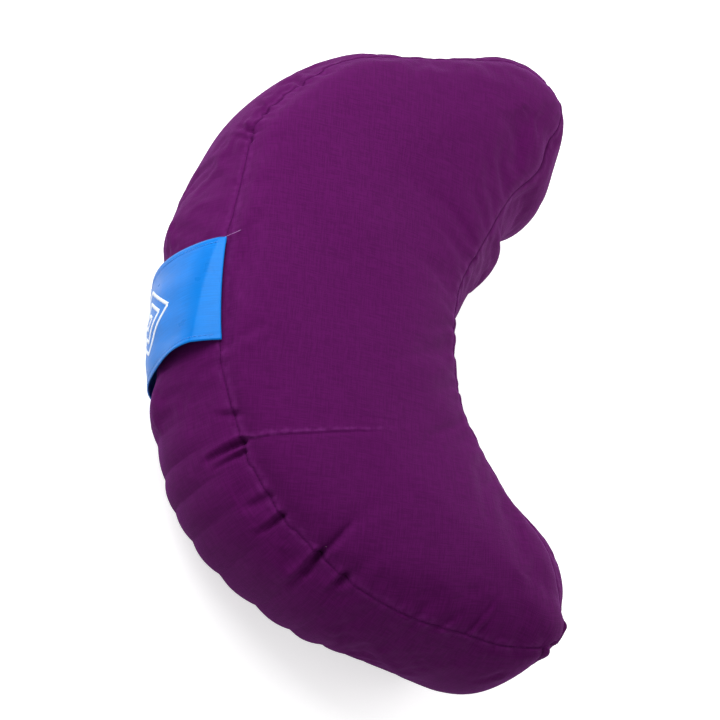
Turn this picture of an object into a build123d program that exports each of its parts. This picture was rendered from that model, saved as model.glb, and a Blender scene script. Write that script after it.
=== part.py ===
"""Crescent support cushion: a fabric cover with a zip and a carry strap, a liner, and a loose hull fill.

Frame: origin on the floor under the middle of the box, +X along the crescent's length, +Z up.
The bulging back of the crescent, with the strap, faces -Y, and the hollow side faces +Y.
"""
import os
from math import acos, asin, atan2, cos, degrees, hypot, radians, sin

from build123d import *

# crescent outline at the seams, in plan
BACK_RADIUS = 361.6
BACK_HALF_ANGLE = 13.2
SHOULDER_RADIUS = 138.3
HOLLOW_RADIUS = 174.9
HOLLOW_HALF_ANGLE = 48.7
TIP_RADIUS = 43.5
BACK_CENTRE_Y = 249.8
HOLLOW_CENTRE_Y = 220.0
HORN_SEAM_ANGLE = 35.0  # where the two wall strips meet, round the tip from +X

# upright section
HEIGHT = 125.0
SEAM_RISE = 12.5  # each panel turns down to its seam by this much
EDGE_RADIUS = 12.0
WALL_BULGE = 17.5

# layers, as depths below the cover's face
COVER_THICKNESS = 0.8
LINER_DEPTH = 2.6
LINER_THICKNESS = 0.5
FILL_DEPTH = 3.6
FILL_CORE = 12.0  # how far the fill's side ring reaches into its flat core

# carry strap over the back wall
STRAP_WIDTH = 68.0
STRAP_CENTRE_X = 17.0
STRAP_THICKNESS = 1.2
STRAP_SLACK = 6.2  # how far it stands off the wall at half height
MOTIF_THICKNESS = 0.4
MOTIF_LINE = 2.0
MOTIF_SIZES = (44.0, 28.0, 12.0)
MOTIF_STRETCH = 1.25
MOTIF_DROP = 6.0

# zip along the foot of the hollow wall
ZIP_LINE_ANGLE = -30.0  # on the bulge's arc, from half height
ZIP_HALF_ANGLE = 39.0  # round the hollow's centre
WINDOW_HALF_ANGLE = 40.5
WINDOW_ABOVE = 9.1  # from the zip's line up to the cloth
WINDOW_BELOW = 14.0  # past the bottom seam
WINDOW_CUT = 2.0
TAPE_THICKNESS = 0.5
TAPE_DEPTH = 0.2
TAPE_DROP = 12.0  # from the zip's line down to the bottom seam
ZIP_GAP = 1.4  # between the two tapes, and between the two coils
COIL_WIDTH = 2.3
COIL_HEIGHT = 2.0
STOP_LENGTH = 2.3
SLIDER_LENGTH = 9.0
SLIDER_PLATE = 0.8
SLIDER_CLEARANCE = 0.35
FLANGE_WIDTH = 0.7
POST_WIDTH = 0.7
POST_LENGTH = 2.6
BRIDGE_WIRE = 1.0
BRIDGE_SPAN = 3.2
BRIDGE_RISE = 1.5
PIN_DIAMETER = 0.9
ARM_GAP = 0.3
ARM_WIDTH = 1.2
PULL_THICKNESS = 0.9
EYE_LENGTH = 4.5
PULL_LENGTH = 24.0
PULL_WIDTH = 6.0
PULL_HOLE = 2.6
PULL_REST_ANGLE = 10.0

# sewing thread along the seams
THREAD_DIAMETER = 0.7
THREAD_OUT = 0.42
THREAD_OFF_SEAM = 0.45
HORN_THREAD_TURN = 37.0

MID_HEIGHT = HEIGHT / 2
HALF_WALL = MID_HEIGHT - SEAM_RISE
TOP_SEAM = HEIGHT - SEAM_RISE

# the wall's bulge is one arc through both seams, and so is the strap
BULGE_RADIUS = (HALF_WALL**2 + WALL_BULGE**2) / (2 * WALL_BULGE)
BULGE_CENTRE = WALL_BULGE - BULGE_RADIUS
STRAP_BULGE = WALL_BULGE + STRAP_SLACK
STRAP_RADIUS = (HALF_WALL**2 + STRAP_BULGE**2) / (2 * STRAP_BULGE)
STRAP_CENTRE = STRAP_BULGE - STRAP_RADIUS

# tangent arcs of the outline
BACK_CENTRE = (0.0, BACK_CENTRE_Y)
HOLLOW_CENTRE = (0.0, HOLLOW_CENTRE_Y)
SHOULDER_CENTRE = (
    (BACK_RADIUS - SHOULDER_RADIUS) * sin(radians(BACK_HALF_ANGLE)),
    BACK_CENTRE_Y - (BACK_RADIUS - SHOULDER_RADIUS) * cos(radians(BACK_HALF_ANGLE)),
)
TIP_CENTRE = (
    (HOLLOW_RADIUS + TIP_RADIUS) * sin(radians(HOLLOW_HALF_ANGLE)),
    HOLLOW_CENTRE_Y - (HOLLOW_RADIUS + TIP_RADIUS) * cos(radians(HOLLOW_HALF_ANGLE)),
)
TIP_STEP = (TIP_CENTRE[0] - SHOULDER_CENTRE[0], TIP_CENTRE[1] - SHOULDER_CENTRE[1])
SIDE_NORMAL = degrees(
    atan2(TIP_STEP[1], TIP_STEP[0]) - acos((SHOULDER_RADIUS - TIP_RADIUS) / hypot(*TIP_STEP))
)
BACK_AXIS = Axis((0, BACK_CENTRE_Y, 0), (0, 0, 1))
HOLLOW_AXIS = Axis((0, HOLLOW_CENTRE_Y, 0), (0, 0, 1))


def on_circle(centre, radius, angle):
    """Point of a circle at an angle from its +X."""
    return (centre[0] + radius * cos(radians(angle)), centre[1] + radius * sin(radians(angle)))


def mirrored(centre):
    return (-centre[0], centre[1])


# ---------------------------------------------------------------- outline and sections


def back_path(grow=0.0):
    """Lines round the back, from the left horn's seam to the right one's."""
    shoulder = SHOULDER_RADIUS + grow
    tip = TIP_RADIUS + grow
    tip_turn = HORN_SEAM_ANGLE - SIDE_NORMAL
    shoulder_turn = 90 + SIDE_NORMAL - BACK_HALF_ANGLE
    left_side = 180 - SIDE_NORMAL
    with BuildLine() as route:
        CenterArc(mirrored(TIP_CENTRE), tip, 180 - HORN_SEAM_ANGLE, tip_turn)
        Line(
            on_circle(mirrored(TIP_CENTRE), tip, left_side),
            on_circle(mirrored(SHOULDER_CENTRE), shoulder, left_side),
        )
        CenterArc(mirrored(SHOULDER_CENTRE), shoulder, left_side, shoulder_turn)
        CenterArc(BACK_CENTRE, BACK_RADIUS + grow, 270 - BACK_HALF_ANGLE, 2 * BACK_HALF_ANGLE)
        CenterArc(SHOULDER_CENTRE, shoulder, 270 + BACK_HALF_ANGLE, shoulder_turn)
        Line(
            on_circle(SHOULDER_CENTRE, shoulder, SIDE_NORMAL),
            on_circle(TIP_CENTRE, tip, SIDE_NORMAL),
        )
        CenterArc(TIP_CENTRE, tip, SIDE_NORMAL, tip_turn)
    return route.line


def hollow_path(grow=0.0):
    """Lines round the hollow, from the right horn's seam to the left one's."""
    tip = TIP_RADIUS + grow
    tip_turn = 90 + HOLLOW_HALF_ANGLE - HORN_SEAM_ANGLE
    hollow_end = 270 + HOLLOW_HALF_ANGLE
    with BuildLine() as route:
        CenterArc(TIP_CENTRE, tip, HORN_SEAM_ANGLE, tip_turn)
        CenterArc(HOLLOW_CENTRE, HOLLOW_RADIUS - grow, hollow_end, -2 * HOLLOW_HALF_ANGLE)
        CenterArc(mirrored(TIP_CENTRE), tip, 90 - HOLLOW_HALF_ANGLE, tip_turn)
    return route.line


def crescent(depth=0.0):
    """The whole outline as a face, drawn in by a depth."""
    with BuildSketch() as plan:
        with BuildLine():
            add(back_path(-depth))
            add(hollow_path(-depth))
        make_face()
    return plan.sketch


def wall_plane(point, angle):
    """Section plane on the wall: x points out of the cushion, at an angle in plan, and y up."""
    outward = (cos(radians(angle)), sin(radians(angle)), 0)
    along = (sin(radians(angle)), -cos(radians(angle)), 0)
    return Plane(origin=(point[0], point[1], 0), x_dir=outward, z_dir=along)


def horn_plane():
    """Section plane at the right horn's seam."""
    return wall_plane(on_circle(TIP_CENTRE, TIP_RADIUS, HORN_SEAM_ANGLE), HORN_SEAM_ANGLE)


def left_horn_plane():
    angle = 180 - HORN_SEAM_ANGLE
    return wall_plane(on_circle(mirrored(TIP_CENTRE), TIP_RADIUS, angle), angle)


def back_plane(angle):
    """Section plane on the back wall, at an angle from its middle towards +X."""
    return wall_plane(on_circle(BACK_CENTRE, BACK_RADIUS, 270 + angle), 270 + angle)


def hollow_plane(angle):
    """Section plane on the hollow wall, at an angle from its middle towards +X."""
    point = on_circle(HOLLOW_CENTRE, HOLLOW_RADIUS, 270 + angle)
    return wall_plane(point, 90 + angle)


def sector(inner, outer, start, end, centre=BULGE_CENTRE):
    """Band between two arcs about the bulge's centre."""
    middle = (centre, MID_HEIGHT)
    with BuildSketch() as section:
        with BuildLine():
            CenterArc(middle, inner, start, end - start)
            CenterArc(middle, outer, start, end - start)
            for angle in (start, end):
                Line(on_circle(middle, inner, angle), on_circle(middle, outer, angle))
        make_face()
    return section.sketch


def seam_band(inward, outward, radius=BULGE_RADIUS, centre=BULGE_CENTRE):
    """Band from one seam to the other, between the bulge's arc moved in and the arc moved out."""
    turn = degrees(asin(HALF_WALL / radius))
    middles = [(centre + shift, MID_HEIGHT) for shift in (-inward, outward)]
    with BuildSketch() as section:
        with BuildLine():
            for middle in middles:
                CenterArc(middle, radius, -turn, 2 * turn)
            for side in (-turn, turn):
                Line(*(on_circle(middle, radius, side) for middle in middles))
        make_face()
    return section.sketch


def zip_band(low, high, deep, shallow):
    """Section by distances along the wall from the zip's line, and by depths below the face."""
    start = ZIP_LINE_ANGLE + degrees(low / BULGE_RADIUS)
    end = ZIP_LINE_ANGLE + degrees(high / BULGE_RADIUS)
    return sector(BULGE_RADIUS - deep, BULGE_RADIUS - shallow, start, end)


# ---------------------------------------------------------------- fabric shells


def panel(depth, thickness):
    """Top panel of a fabric layer: the crescent with its rim turned down to the seam."""
    with BuildPart() as layer:
        with BuildSketch(Plane.XY.offset(TOP_SEAM)):
            add(crescent(depth))
        extrude(amount=SEAM_RISE - depth)
        rim = layer.faces().sort_by(Axis.Z)[-1].edges()
        fillet(rim, EDGE_RADIUS - depth)
        open_face = layer.faces().sort_by(Axis.Z)[0]
        offset(amount=-thickness, openings=open_face)
    return layer.part


def wall(depth, thickness, path, start_plane):
    """Wall strip of a fabric layer, bulging between the two seams."""
    with BuildPart() as strip:
        with BuildSketch(start_plane):
            add(seam_band(depth + thickness, -depth))
        sweep(path=path())
    return strip.part


top_shell = panel(0.0, COVER_THICKNESS)
liner_top_shell = panel(LINER_DEPTH, LINER_THICKNESS)

with BuildPart() as cover_top_panel:
    add(top_shell)

with BuildPart() as cover_bottom_panel:
    mirror(top_shell, about=Plane.XY.offset(MID_HEIGHT))

with BuildPart() as cover_back_wall:
    add(wall(0.0, COVER_THICKNESS, back_path, left_horn_plane()))

with BuildPart() as cover_hollow_wall:
    add(wall(0.0, COVER_THICKNESS, hollow_path, horn_plane()))
    with BuildSketch(hollow_plane(-WINDOW_HALF_ANGLE)):
        add(zip_band(-WINDOW_BELOW, WINDOW_ABOVE, WINDOW_CUT, -WINDOW_CUT))
    revolve(axis=HOLLOW_AXIS, revolution_arc=2 * WINDOW_HALF_ANGLE, mode=Mode.SUBTRACT)

with BuildPart() as liner_top:
    add(liner_top_shell)

with BuildPart() as liner_bottom:
    mirror(liner_top_shell, about=Plane.XY.offset(MID_HEIGHT))

with BuildPart() as liner_side:
    add(wall(LINER_DEPTH, LINER_THICKNESS, back_path, left_horn_plane()))
    add(wall(LINER_DEPTH, LINER_THICKNESS, hollow_path, horn_plane()))

# ---------------------------------------------------------------- loose fill


def fill_section():
    """The bulge's segment, reaching into the flat core."""
    turn = degrees(asin(HALF_WALL / BULGE_RADIUS))
    middle = (BULGE_CENTRE - FILL_DEPTH, MID_HEIGHT)
    top = on_circle(middle, BULGE_RADIUS, turn)
    bottom = on_circle(middle, BULGE_RADIUS, -turn)
    with BuildSketch() as section:
        with BuildLine():
            CenterArc(middle, BULGE_RADIUS, -turn, 2 * turn)
            Polyline(top, (-FILL_CORE, top[1]), (-FILL_CORE, bottom[1]), bottom)
        make_face()
    return section.sketch


with BuildPart() as hull_fill:
    with BuildSketch(Plane.XY.offset(FILL_DEPTH)):
        add(crescent(FILL_DEPTH))
    extrude(amount=HEIGHT - 2 * FILL_DEPTH)
    levels = hull_fill.faces().sort_by(Axis.Z)
    fillet(levels[0].edges() + levels[-1].edges(), EDGE_RADIUS - FILL_DEPTH)
    for path, start in ((back_path(), left_horn_plane()), (hollow_path(), horn_plane())):
        with BuildSketch(start):
            add(fill_section())
        sweep(path=path)

# ---------------------------------------------------------------- carry strap

strap_half_angle = degrees(STRAP_WIDTH / 2 / (BACK_RADIUS + STRAP_BULGE))
strap_start = degrees(STRAP_CENTRE_X / (BACK_RADIUS + STRAP_BULGE)) - strap_half_angle

with BuildPart() as carry_strap:
    with BuildSketch(back_plane(strap_start)):
        add(seam_band(0.0, STRAP_THICKNESS, STRAP_RADIUS, STRAP_CENTRE))
    revolve(axis=BACK_AXIS, revolution_arc=2 * strap_half_angle)


def diamond(width):
    """Corners of an upright diamond a little taller than it is wide."""
    half = width / 2
    return [(half, 0), (0, half * MOTIF_STRETCH), (-half, 0), (0, -half * MOTIF_STRETCH)]


motif_middle = (STRAP_CENTRE_X, -(BACK_RADIUS + STRAP_BULGE) + BACK_CENTRE_Y, MID_HEIGHT - MOTIF_DROP)
motif_plane = Plane(origin=motif_middle, x_dir=(1, 0, 0), z_dir=(0, -1, 0))

with BuildPart() as strap_motif:
    with BuildSketch(back_plane(strap_start)):
        add(seam_band(0.0, MOTIF_THICKNESS, STRAP_RADIUS, STRAP_CENTRE + STRAP_THICKNESS))
    revolve(axis=BACK_AXIS, revolution_arc=2 * strap_half_angle)
    with BuildSketch(motif_plane):
        for width in MOTIF_SIZES:
            Polygon(*diamond(width))
            Polygon(*diamond(width - 2 * MOTIF_LINE), mode=Mode.SUBTRACT)
    extrude(amount=WALL_BULGE, both=True, mode=Mode.INTERSECT)

# ---------------------------------------------------------------- zip

zip_rise = radians(ZIP_LINE_ANGLE)
zip_radius = HOLLOW_RADIUS - (BULGE_CENTRE + BULGE_RADIUS * cos(zip_rise))
half_gap = ZIP_GAP / 2
coil_edge = half_gap + COIL_WIDTH
coil_face = TAPE_DEPTH - COIL_HEIGHT
tape_back = TAPE_DEPTH + TAPE_THICKNESS
stop_turn = degrees(STOP_LENGTH / zip_radius)
slider_turn = degrees(SLIDER_LENGTH / zip_radius)
slider_end = ZIP_HALF_ANGLE - degrees(SLIDER_CLEARANCE / zip_radius)
slider_start = slider_end - slider_turn
slider_middle = (slider_start + slider_end) / 2


def along_zip(section, start, turn):
    """A section carried along the zip from an angle, through a turn."""
    with BuildPart() as run:
        with BuildSketch(hollow_plane(start)):
            add(section)
        revolve(axis=HOLLOW_AXIS, revolution_arc=turn)
    return run.part


tape_top = zip_band(half_gap, WINDOW_ABOVE, tape_back, TAPE_DEPTH)
tape_low = zip_band(-TAPE_DROP, -half_gap, tape_back, TAPE_DEPTH)
with BuildPart() as zip_tape_upper:
    add(along_zip(tape_top, -WINDOW_HALF_ANGLE, 2 * WINDOW_HALF_ANGLE))

with BuildPart() as zip_tape_lower:
    add(along_zip(tape_low, -WINDOW_HALF_ANGLE, 2 * WINDOW_HALF_ANGLE))

upper_coil = zip_band(half_gap, coil_edge, TAPE_DEPTH, coil_face)
lower_coil = zip_band(-coil_edge, -half_gap, TAPE_DEPTH, coil_face)
with BuildPart() as zip_coil_upper:
    add(along_zip(upper_coil, -ZIP_HALF_ANGLE, 2 * ZIP_HALF_ANGLE))

with BuildPart() as zip_coil_lower:
    add(along_zip(lower_coil, -ZIP_HALF_ANGLE, 2 * ZIP_HALF_ANGLE))

with BuildPart() as zip_top_stops:
    add(along_zip(upper_coil, ZIP_HALF_ANGLE, stop_turn))
    add(along_zip(lower_coil, ZIP_HALF_ANGLE, stop_turn))

with BuildPart() as zip_bottom_stop:
    both_coils = zip_band(-coil_edge, coil_edge, TAPE_DEPTH, coil_face)
    add(along_zip(both_coils, -ZIP_HALF_ANGLE - stop_turn, stop_turn))

# the slider: a front plate with two flanges, a back plate, and a post between the tapes
slider_edge = coil_edge + SLIDER_CLEARANCE + FLANGE_WIDTH
front_back = coil_face - SLIDER_CLEARANCE
front_face = front_back - SLIDER_PLATE
flange_foot = TAPE_DEPTH - SLIDER_CLEARANCE
back_front = tape_back + SLIDER_CLEARANCE
back_face = back_front + SLIDER_PLATE
post_turn = degrees(POST_LENGTH / zip_radius)
span_turn = degrees(BRIDGE_SPAN / zip_radius)
bridge_turn = degrees((BRIDGE_SPAN + 2 * BRIDGE_WIRE) / zip_radius)
bridge_under = front_face - BRIDGE_RISE
bridge_half = BRIDGE_WIRE / 2

with BuildPart() as zip_slider:
    add(along_zip(zip_band(-slider_edge, slider_edge, front_back, front_face), slider_start, slider_turn))
    add(along_zip(zip_band(-slider_edge, slider_edge, back_face, back_front), slider_start, slider_turn))
    for edge in (-slider_edge, slider_edge - FLANGE_WIDTH):
        flange = zip_band(edge, edge + FLANGE_WIDTH, flange_foot, front_face)
        add(along_zip(flange, slider_start, slider_turn))
    post = zip_band(-POST_WIDTH / 2, POST_WIDTH / 2, back_face, front_face)
    add(along_zip(post, slider_end - post_turn, post_turn))
    bridge = zip_band(-bridge_half, bridge_half, front_face, bridge_under - BRIDGE_WIRE)
    add(along_zip(bridge, slider_middle - bridge_turn / 2, bridge_turn))
    under = zip_band(-BRIDGE_WIRE, BRIDGE_WIRE, front_face, bridge_under)
    add(along_zip(under, slider_middle - span_turn / 2, span_turn), mode=Mode.SUBTRACT)

# the pull swings on a pin that passes under the slider's bridge
pin_height = BULGE_RADIUS - (front_face + bridge_under) / 2
pin_section = on_circle((BULGE_CENTRE, MID_HEIGHT), pin_height, ZIP_LINE_ANGLE)
slider_section = hollow_plane(slider_middle)
pin_centre = slider_section.from_local_coords(Vector(*pin_section))
face_normal = slider_section.x_dir * cos(zip_rise) + slider_section.y_dir * sin(zip_rise)
across_zip = slider_section.y_dir * cos(zip_rise) - slider_section.x_dir * sin(zip_rise)
lift = radians(PULL_REST_ANGLE)
pull_way = face_normal * sin(lift) - slider_section.z_dir * cos(lift)
pull_plane = Plane(origin=pin_centre, x_dir=pull_way, z_dir=pull_way.cross(across_zip))
arm_edge = bridge_half + ARM_GAP + ARM_WIDTH

with BuildPart() as zip_pull:
    with BuildSketch(pull_plane):
        with Locations(((EYE_LENGTH + PULL_LENGTH) / 2, 0)):
            RectangleRounded(PULL_LENGTH - EYE_LENGTH, PULL_WIDTH, PULL_WIDTH / 3)
        with Locations((EYE_LENGTH / 2 + PULL_WIDTH / 6, 0)):
            Rectangle(EYE_LENGTH + PULL_WIDTH / 3 + PIN_DIAMETER, 2 * arm_edge)
        with Locations(((EYE_LENGTH - PIN_DIAMETER) / 2, 0)):
            Rectangle(EYE_LENGTH + PIN_DIAMETER, 2 * (arm_edge - ARM_WIDTH), mode=Mode.SUBTRACT)
        with Locations((PULL_LENGTH - PULL_WIDTH / 2, 0)):
            Circle(PULL_HOLE / 2, mode=Mode.SUBTRACT)
    extrude(amount=PULL_THICKNESS / 2, both=True)
    with BuildSketch(Plane(origin=pin_centre, x_dir=pull_way, z_dir=across_zip)):
        Circle(PIN_DIAMETER / 2)
    extrude(amount=arm_edge, both=True)

# ---------------------------------------------------------------- sewing thread


def thread_ring(height):
    """Closed thread lying in a seam's valley, all round the crescent."""
    with BuildPart() as ring:
        for path, start in ((back_path(), left_horn_plane()), (hollow_path(), horn_plane())):
            with BuildSketch(start):
                with Locations((THREAD_OUT, height)):
                    Circle(THREAD_DIAMETER / 2)
            sweep(path=path)
    return ring.part


with BuildPart() as seam_thread_top:
    add(thread_ring(TOP_SEAM + THREAD_OFF_SEAM))

with BuildPart() as seam_thread_bottom:
    add(thread_ring(SEAM_RISE - THREAD_OFF_SEAM))

with BuildPart() as seam_thread_horns:
    with BuildLine(horn_plane()) as horn_route:
        CenterArc(
            (BULGE_CENTRE, MID_HEIGHT),
            BULGE_RADIUS + THREAD_OUT,
            -HORN_THREAD_TURN,
            2 * HORN_THREAD_TURN,
        )
    with BuildSketch(Plane(origin=horn_route.line @ 0, z_dir=horn_route.line % 0)):
        Circle(THREAD_DIAMETER / 2)
    sweep(path=horn_route.line)
    mirror(about=Plane.YZ)

# ---------------------------------------------------------------- export

os.makedirs("parts", exist_ok=True)

cover_top_panel.part.label = "cover_top_panel"
cover_bottom_panel.part.label = "cover_bottom_panel"
cover_back_wall.part.label = "cover_back_wall"
cover_hollow_wall.part.label = "cover_hollow_wall"
liner_top.part.label = "liner_top"
liner_bottom.part.label = "liner_bottom"
liner_side.part.label = "liner_side"
hull_fill.part.label = "hull_fill"
carry_strap.part.label = "carry_strap"
strap_motif.part.label = "strap_motif"
zip_tape_upper.part.label = "zip_tape_upper"
zip_tape_lower.part.label = "zip_tape_lower"
zip_coil_upper.part.label = "zip_coil_upper"
zip_coil_lower.part.label = "zip_coil_lower"
zip_top_stops.part.label = "zip_top_stops"
zip_bottom_stop.part.label = "zip_bottom_stop"
zip_slider.part.label = "zip_slider"
zip_pull.part.label = "zip_pull"
seam_thread_top.part.label = "seam_thread_top"
seam_thread_bottom.part.label = "seam_thread_bottom"
seam_thread_horns.part.label = "seam_thread_horns"

for piece in (
    cover_top_panel,
    cover_bottom_panel,
    cover_back_wall,
    cover_hollow_wall,
    liner_top,
    liner_bottom,
    liner_side,
    hull_fill,
    carry_strap,
    strap_motif,
    zip_tape_upper,
    zip_tape_lower,
    zip_coil_upper,
    zip_coil_lower,
    zip_top_stops,
    zip_bottom_stop,
    zip_slider,
    zip_pull,
    seam_thread_top,
    seam_thread_bottom,
    seam_thread_horns,
):
    export_step(piece.part, f"parts/{piece.part.label}.step")

slider_travel = slider_start + ZIP_HALF_ANGLE - degrees(SLIDER_CLEARANCE / zip_radius)
pull_travel = 180 - 2 * PULL_REST_ANGLE
print(f"slider turns {slider_travel:.2f} degrees about x 0, y {HOLLOW_CENTRE_Y} mm")
print(f"pull turns {pull_travel:.1f} degrees about {pin_centre}, axis {across_zip * -1}")
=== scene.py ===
"""Looks of the crescent support cushion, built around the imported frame.

Metres, in the row frame: origin on the floor, +X along the crescent, the strap faces -Y, +Z up.
A place on the outline is its distance s round the seams, from the middle of the back by way of +X.
"""

from math import asin, atan2, acos, cos, degrees, hypot, pi, radians, sin

import bpy
import numpy as np
from mathutils import Matrix, Vector, geometry, kdtree


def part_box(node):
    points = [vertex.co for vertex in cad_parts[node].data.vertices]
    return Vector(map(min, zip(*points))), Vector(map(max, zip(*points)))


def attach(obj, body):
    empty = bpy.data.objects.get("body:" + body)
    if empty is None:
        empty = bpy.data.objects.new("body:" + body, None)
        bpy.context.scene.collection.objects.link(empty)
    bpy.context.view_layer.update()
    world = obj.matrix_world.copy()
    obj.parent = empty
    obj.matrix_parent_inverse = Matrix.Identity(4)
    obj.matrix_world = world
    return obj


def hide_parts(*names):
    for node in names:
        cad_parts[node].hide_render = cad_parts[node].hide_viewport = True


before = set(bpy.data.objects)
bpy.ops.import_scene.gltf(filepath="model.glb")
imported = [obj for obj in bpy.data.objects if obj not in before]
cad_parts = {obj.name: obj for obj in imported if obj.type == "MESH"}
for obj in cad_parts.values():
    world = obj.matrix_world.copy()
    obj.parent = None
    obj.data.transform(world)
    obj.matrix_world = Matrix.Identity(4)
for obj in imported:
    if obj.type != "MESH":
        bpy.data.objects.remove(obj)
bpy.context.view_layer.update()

RNG_SEED = 7

# ------------------------------------------------------------------ sizes that the CAD also has
BACK_RADIUS = 0.3616
BACK_HALF_ANGLE = 13.2
SHOULDER_RADIUS = 0.1383
HOLLOW_RADIUS = 0.1749
HOLLOW_HALF_ANGLE = 48.7
TIP_RADIUS = 0.0435
BACK_CENTRE = np.array([0.0, 0.2498])
HOLLOW_CENTRE = np.array([0.0, 0.220])
HORN_SEAM_ANGLE = 35.0
WALL_BULGE = 0.0175
STRAP_SLACK = 0.0062
STRAP_THICKNESS = 0.0012
ZIP_LINE_ANGLE = -30.0
ZIP_HALF_ANGLE = 39.0
WINDOW_HALF_ANGLE = 40.5
WINDOW_ABOVE = 0.0091
TAPE_THICKNESS = 0.0005
TAPE_DEPTH = 0.0002
TAPE_DROP = 0.012
ZIP_GAP = 0.0014
COIL_WIDTH = 0.0023
COIL_HEIGHT = 0.0020
STOP_LENGTH = 0.0023
COVER_THICKNESS = 0.0008
LINER_THICKNESS = 0.0005

top_low, top_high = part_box("cover_top_panel")
HEIGHT = top_high.z
TOP_SEAM = top_low.z
SEAM_RISE = HEIGHT - TOP_SEAM
MIDDLE = HEIGHT / 2
HALF_WALL = MIDDLE - SEAM_RISE
BULGE_RADIUS = (HALF_WALL**2 + WALL_BULGE**2) / (2 * WALL_BULGE)
BULGE_CENTRE = WALL_BULGE - BULGE_RADIUS
SEAM_TURN = asin(HALF_WALL / BULGE_RADIUS)
STRAP_BULGE = WALL_BULGE + STRAP_SLACK
STRAP_RADIUS = (HALF_WALL**2 + STRAP_BULGE**2) / (2 * STRAP_BULGE)
STRAP_CENTRE = STRAP_BULGE - STRAP_RADIUS
STRAP_TURN = asin(HALF_WALL / STRAP_RADIUS)
strap_low, strap_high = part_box("carry_strap")

shoulder_reach = BACK_RADIUS - SHOULDER_RADIUS
SHOULDER_CENTRE = BACK_CENTRE + shoulder_reach * np.array(
    [sin(radians(BACK_HALF_ANGLE)), -cos(radians(BACK_HALF_ANGLE))]
)
tip_reach = HOLLOW_RADIUS + TIP_RADIUS
TIP_CENTRE = HOLLOW_CENTRE + tip_reach * np.array(
    [sin(radians(HOLLOW_HALF_ANGLE)), -cos(radians(HOLLOW_HALF_ANGLE))]
)
tip_step = TIP_CENTRE - SHOULDER_CENTRE
SIDE_NORMAL = degrees(
    atan2(tip_step[1], tip_step[0]) - acos((SHOULDER_RADIUS - TIP_RADIUS) / hypot(*tip_step))
)

# ------------------------------------------------------------------ the cover's looks
PANEL_RISE = 0.0125  # how far the top panel climbs from its seam
PANEL_ROLL = 0.017
CROWN = 0.0034
CROWN_REACH = 0.060
FOOT_RISE = 0.0145
FOOT_ROLL = 0.011
HORN_LIFT = 0.007  # the horns stand a little fuller than the middle
HORN_START = 0.05
HORN_END = 0.19
LINER_DEPTH = 0.0030  # the liner and the fill lie a little deeper than in the CAD
FILL_DEPTH = 0.0046

COARSE = 0.0048
FINE = 0.0016
LEAST_SPACING = 0.62  # of the pitch, between the lattice and the border or the guide lines
CLOSE = (0.0005, 0.0011, 0.0019)  # rows of the mesh beside a seam
ON_TOP, ON_BOTTOM = 9.0, -9.0  # stand for the angle up the wall's arc on the two panels
SEAM_DIP = 0.0008
SEAM_DIP_WIDTH = 0.0012
MOST_SWELL = 0.0060
PRESSURE = 4.0
LAST_FRAME = 20
SEAM_PULL_REACH = 0.006  # the seams draw the cloth in this far
LEAST_PULL = 0.02
EDGE_SWELL_REACH = 0.014  # how far the seam's own movement carries into a panel
NEAR_SEAM = 0.003
NEIGHBOURS = 10
STILL_EDGE = 0.02  # the swelling fades over this length beside the zip and the strap
UNDER_STRAP = 0.6  # share of the swelling that the strap holds back
PLEAT_PITCH = 0.0007
PLEAT_REACH = 0.0065
LEAST_PLEAT_REACH = 0.002
HORN_CLEARANCE = 0.004
PLEAT_SPOTS = (
    (0.094, -0.099), (0.1115, -0.092), (0.117, -0.0895), (0.141, -0.0725), (0.1505, -0.064),
    (0.169, -0.040), (0.1775, -0.0235), (0.206, 0.078), (0.182, 0.116),
    (-0.092, -0.0995), (-0.102, -0.096), (-0.118, -0.089), (-0.145, -0.069),
)


def srgb(red, green, blue):
    """Linear colour from 0-255 values."""
    values = np.array([red, green, blue]) / 255
    linear = np.where(values <= 0.04045, values / 12.92, ((values + 0.055) / 1.055) ** 2.4)
    return (*linear.tolist(), 1.0)


# ------------------------------------------------------------------ outline of the seams


def arc_run(centre, radius, start, end, outward=1.0):
    angles = np.radians(np.linspace(start, end, 400))
    ways = np.stack([np.cos(angles), np.sin(angles)], -1)
    return np.hstack([centre + radius * ways, outward * ways])


def outline_table():
    """Dense rows (x, y, normal x, normal y) round the outline, and the distance round it."""
    half = np.vstack(
        [
            arc_run(BACK_CENTRE, BACK_RADIUS, 270, 270 + BACK_HALF_ANGLE),
            arc_run(SHOULDER_CENTRE, SHOULDER_RADIUS, 270 + BACK_HALF_ANGLE, 360 + SIDE_NORMAL),
            arc_run(TIP_CENTRE, TIP_RADIUS, SIDE_NORMAL, 90 + HOLLOW_HALF_ANGLE),
            arc_run(HOLLOW_CENTRE, HOLLOW_RADIUS, 270 + HOLLOW_HALF_ANGLE, 270, -1.0),
        ]
    )
    other = half[::-1] * [-1, 1, -1, 1]
    rows = np.vstack([half, other[1:]])
    gaps = np.hypot(*np.diff(rows[:, :2], axis=0).T)
    keep = np.r_[True, gaps > 1e-9]
    rows = rows[keep]
    around = np.r_[0, np.cumsum(np.hypot(*np.diff(rows[:, :2], axis=0).T))]
    return rows, around


OUTLINE, AROUND = outline_table()
LENGTH = AROUND[-1]


def place(s):
    """Points and outward normals in plan at distances round the outline."""
    s = np.mod(s, LENGTH)
    rows = np.stack([np.interp(s, AROUND, OUTLINE[:, k]) for k in range(4)], -1)
    normals = rows[:, 2:] / np.linalg.norm(rows[:, 2:], axis=1, keepdims=True)
    return rows[:, :2], normals


def tree_of(points):
    tree = kdtree.KDTree(len(points))
    for index, point in enumerate(points.tolist()):
        tree.insert(point, index)
    tree.balance()
    return tree


def plan_tree(points):
    return tree_of(np.c_[points, np.zeros(len(points))])


ring_s = np.linspace(0, LENGTH, 2400, endpoint=False)
ring_points, ring_normals = place(ring_s)
ring_tree = plan_tree(ring_points)


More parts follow.
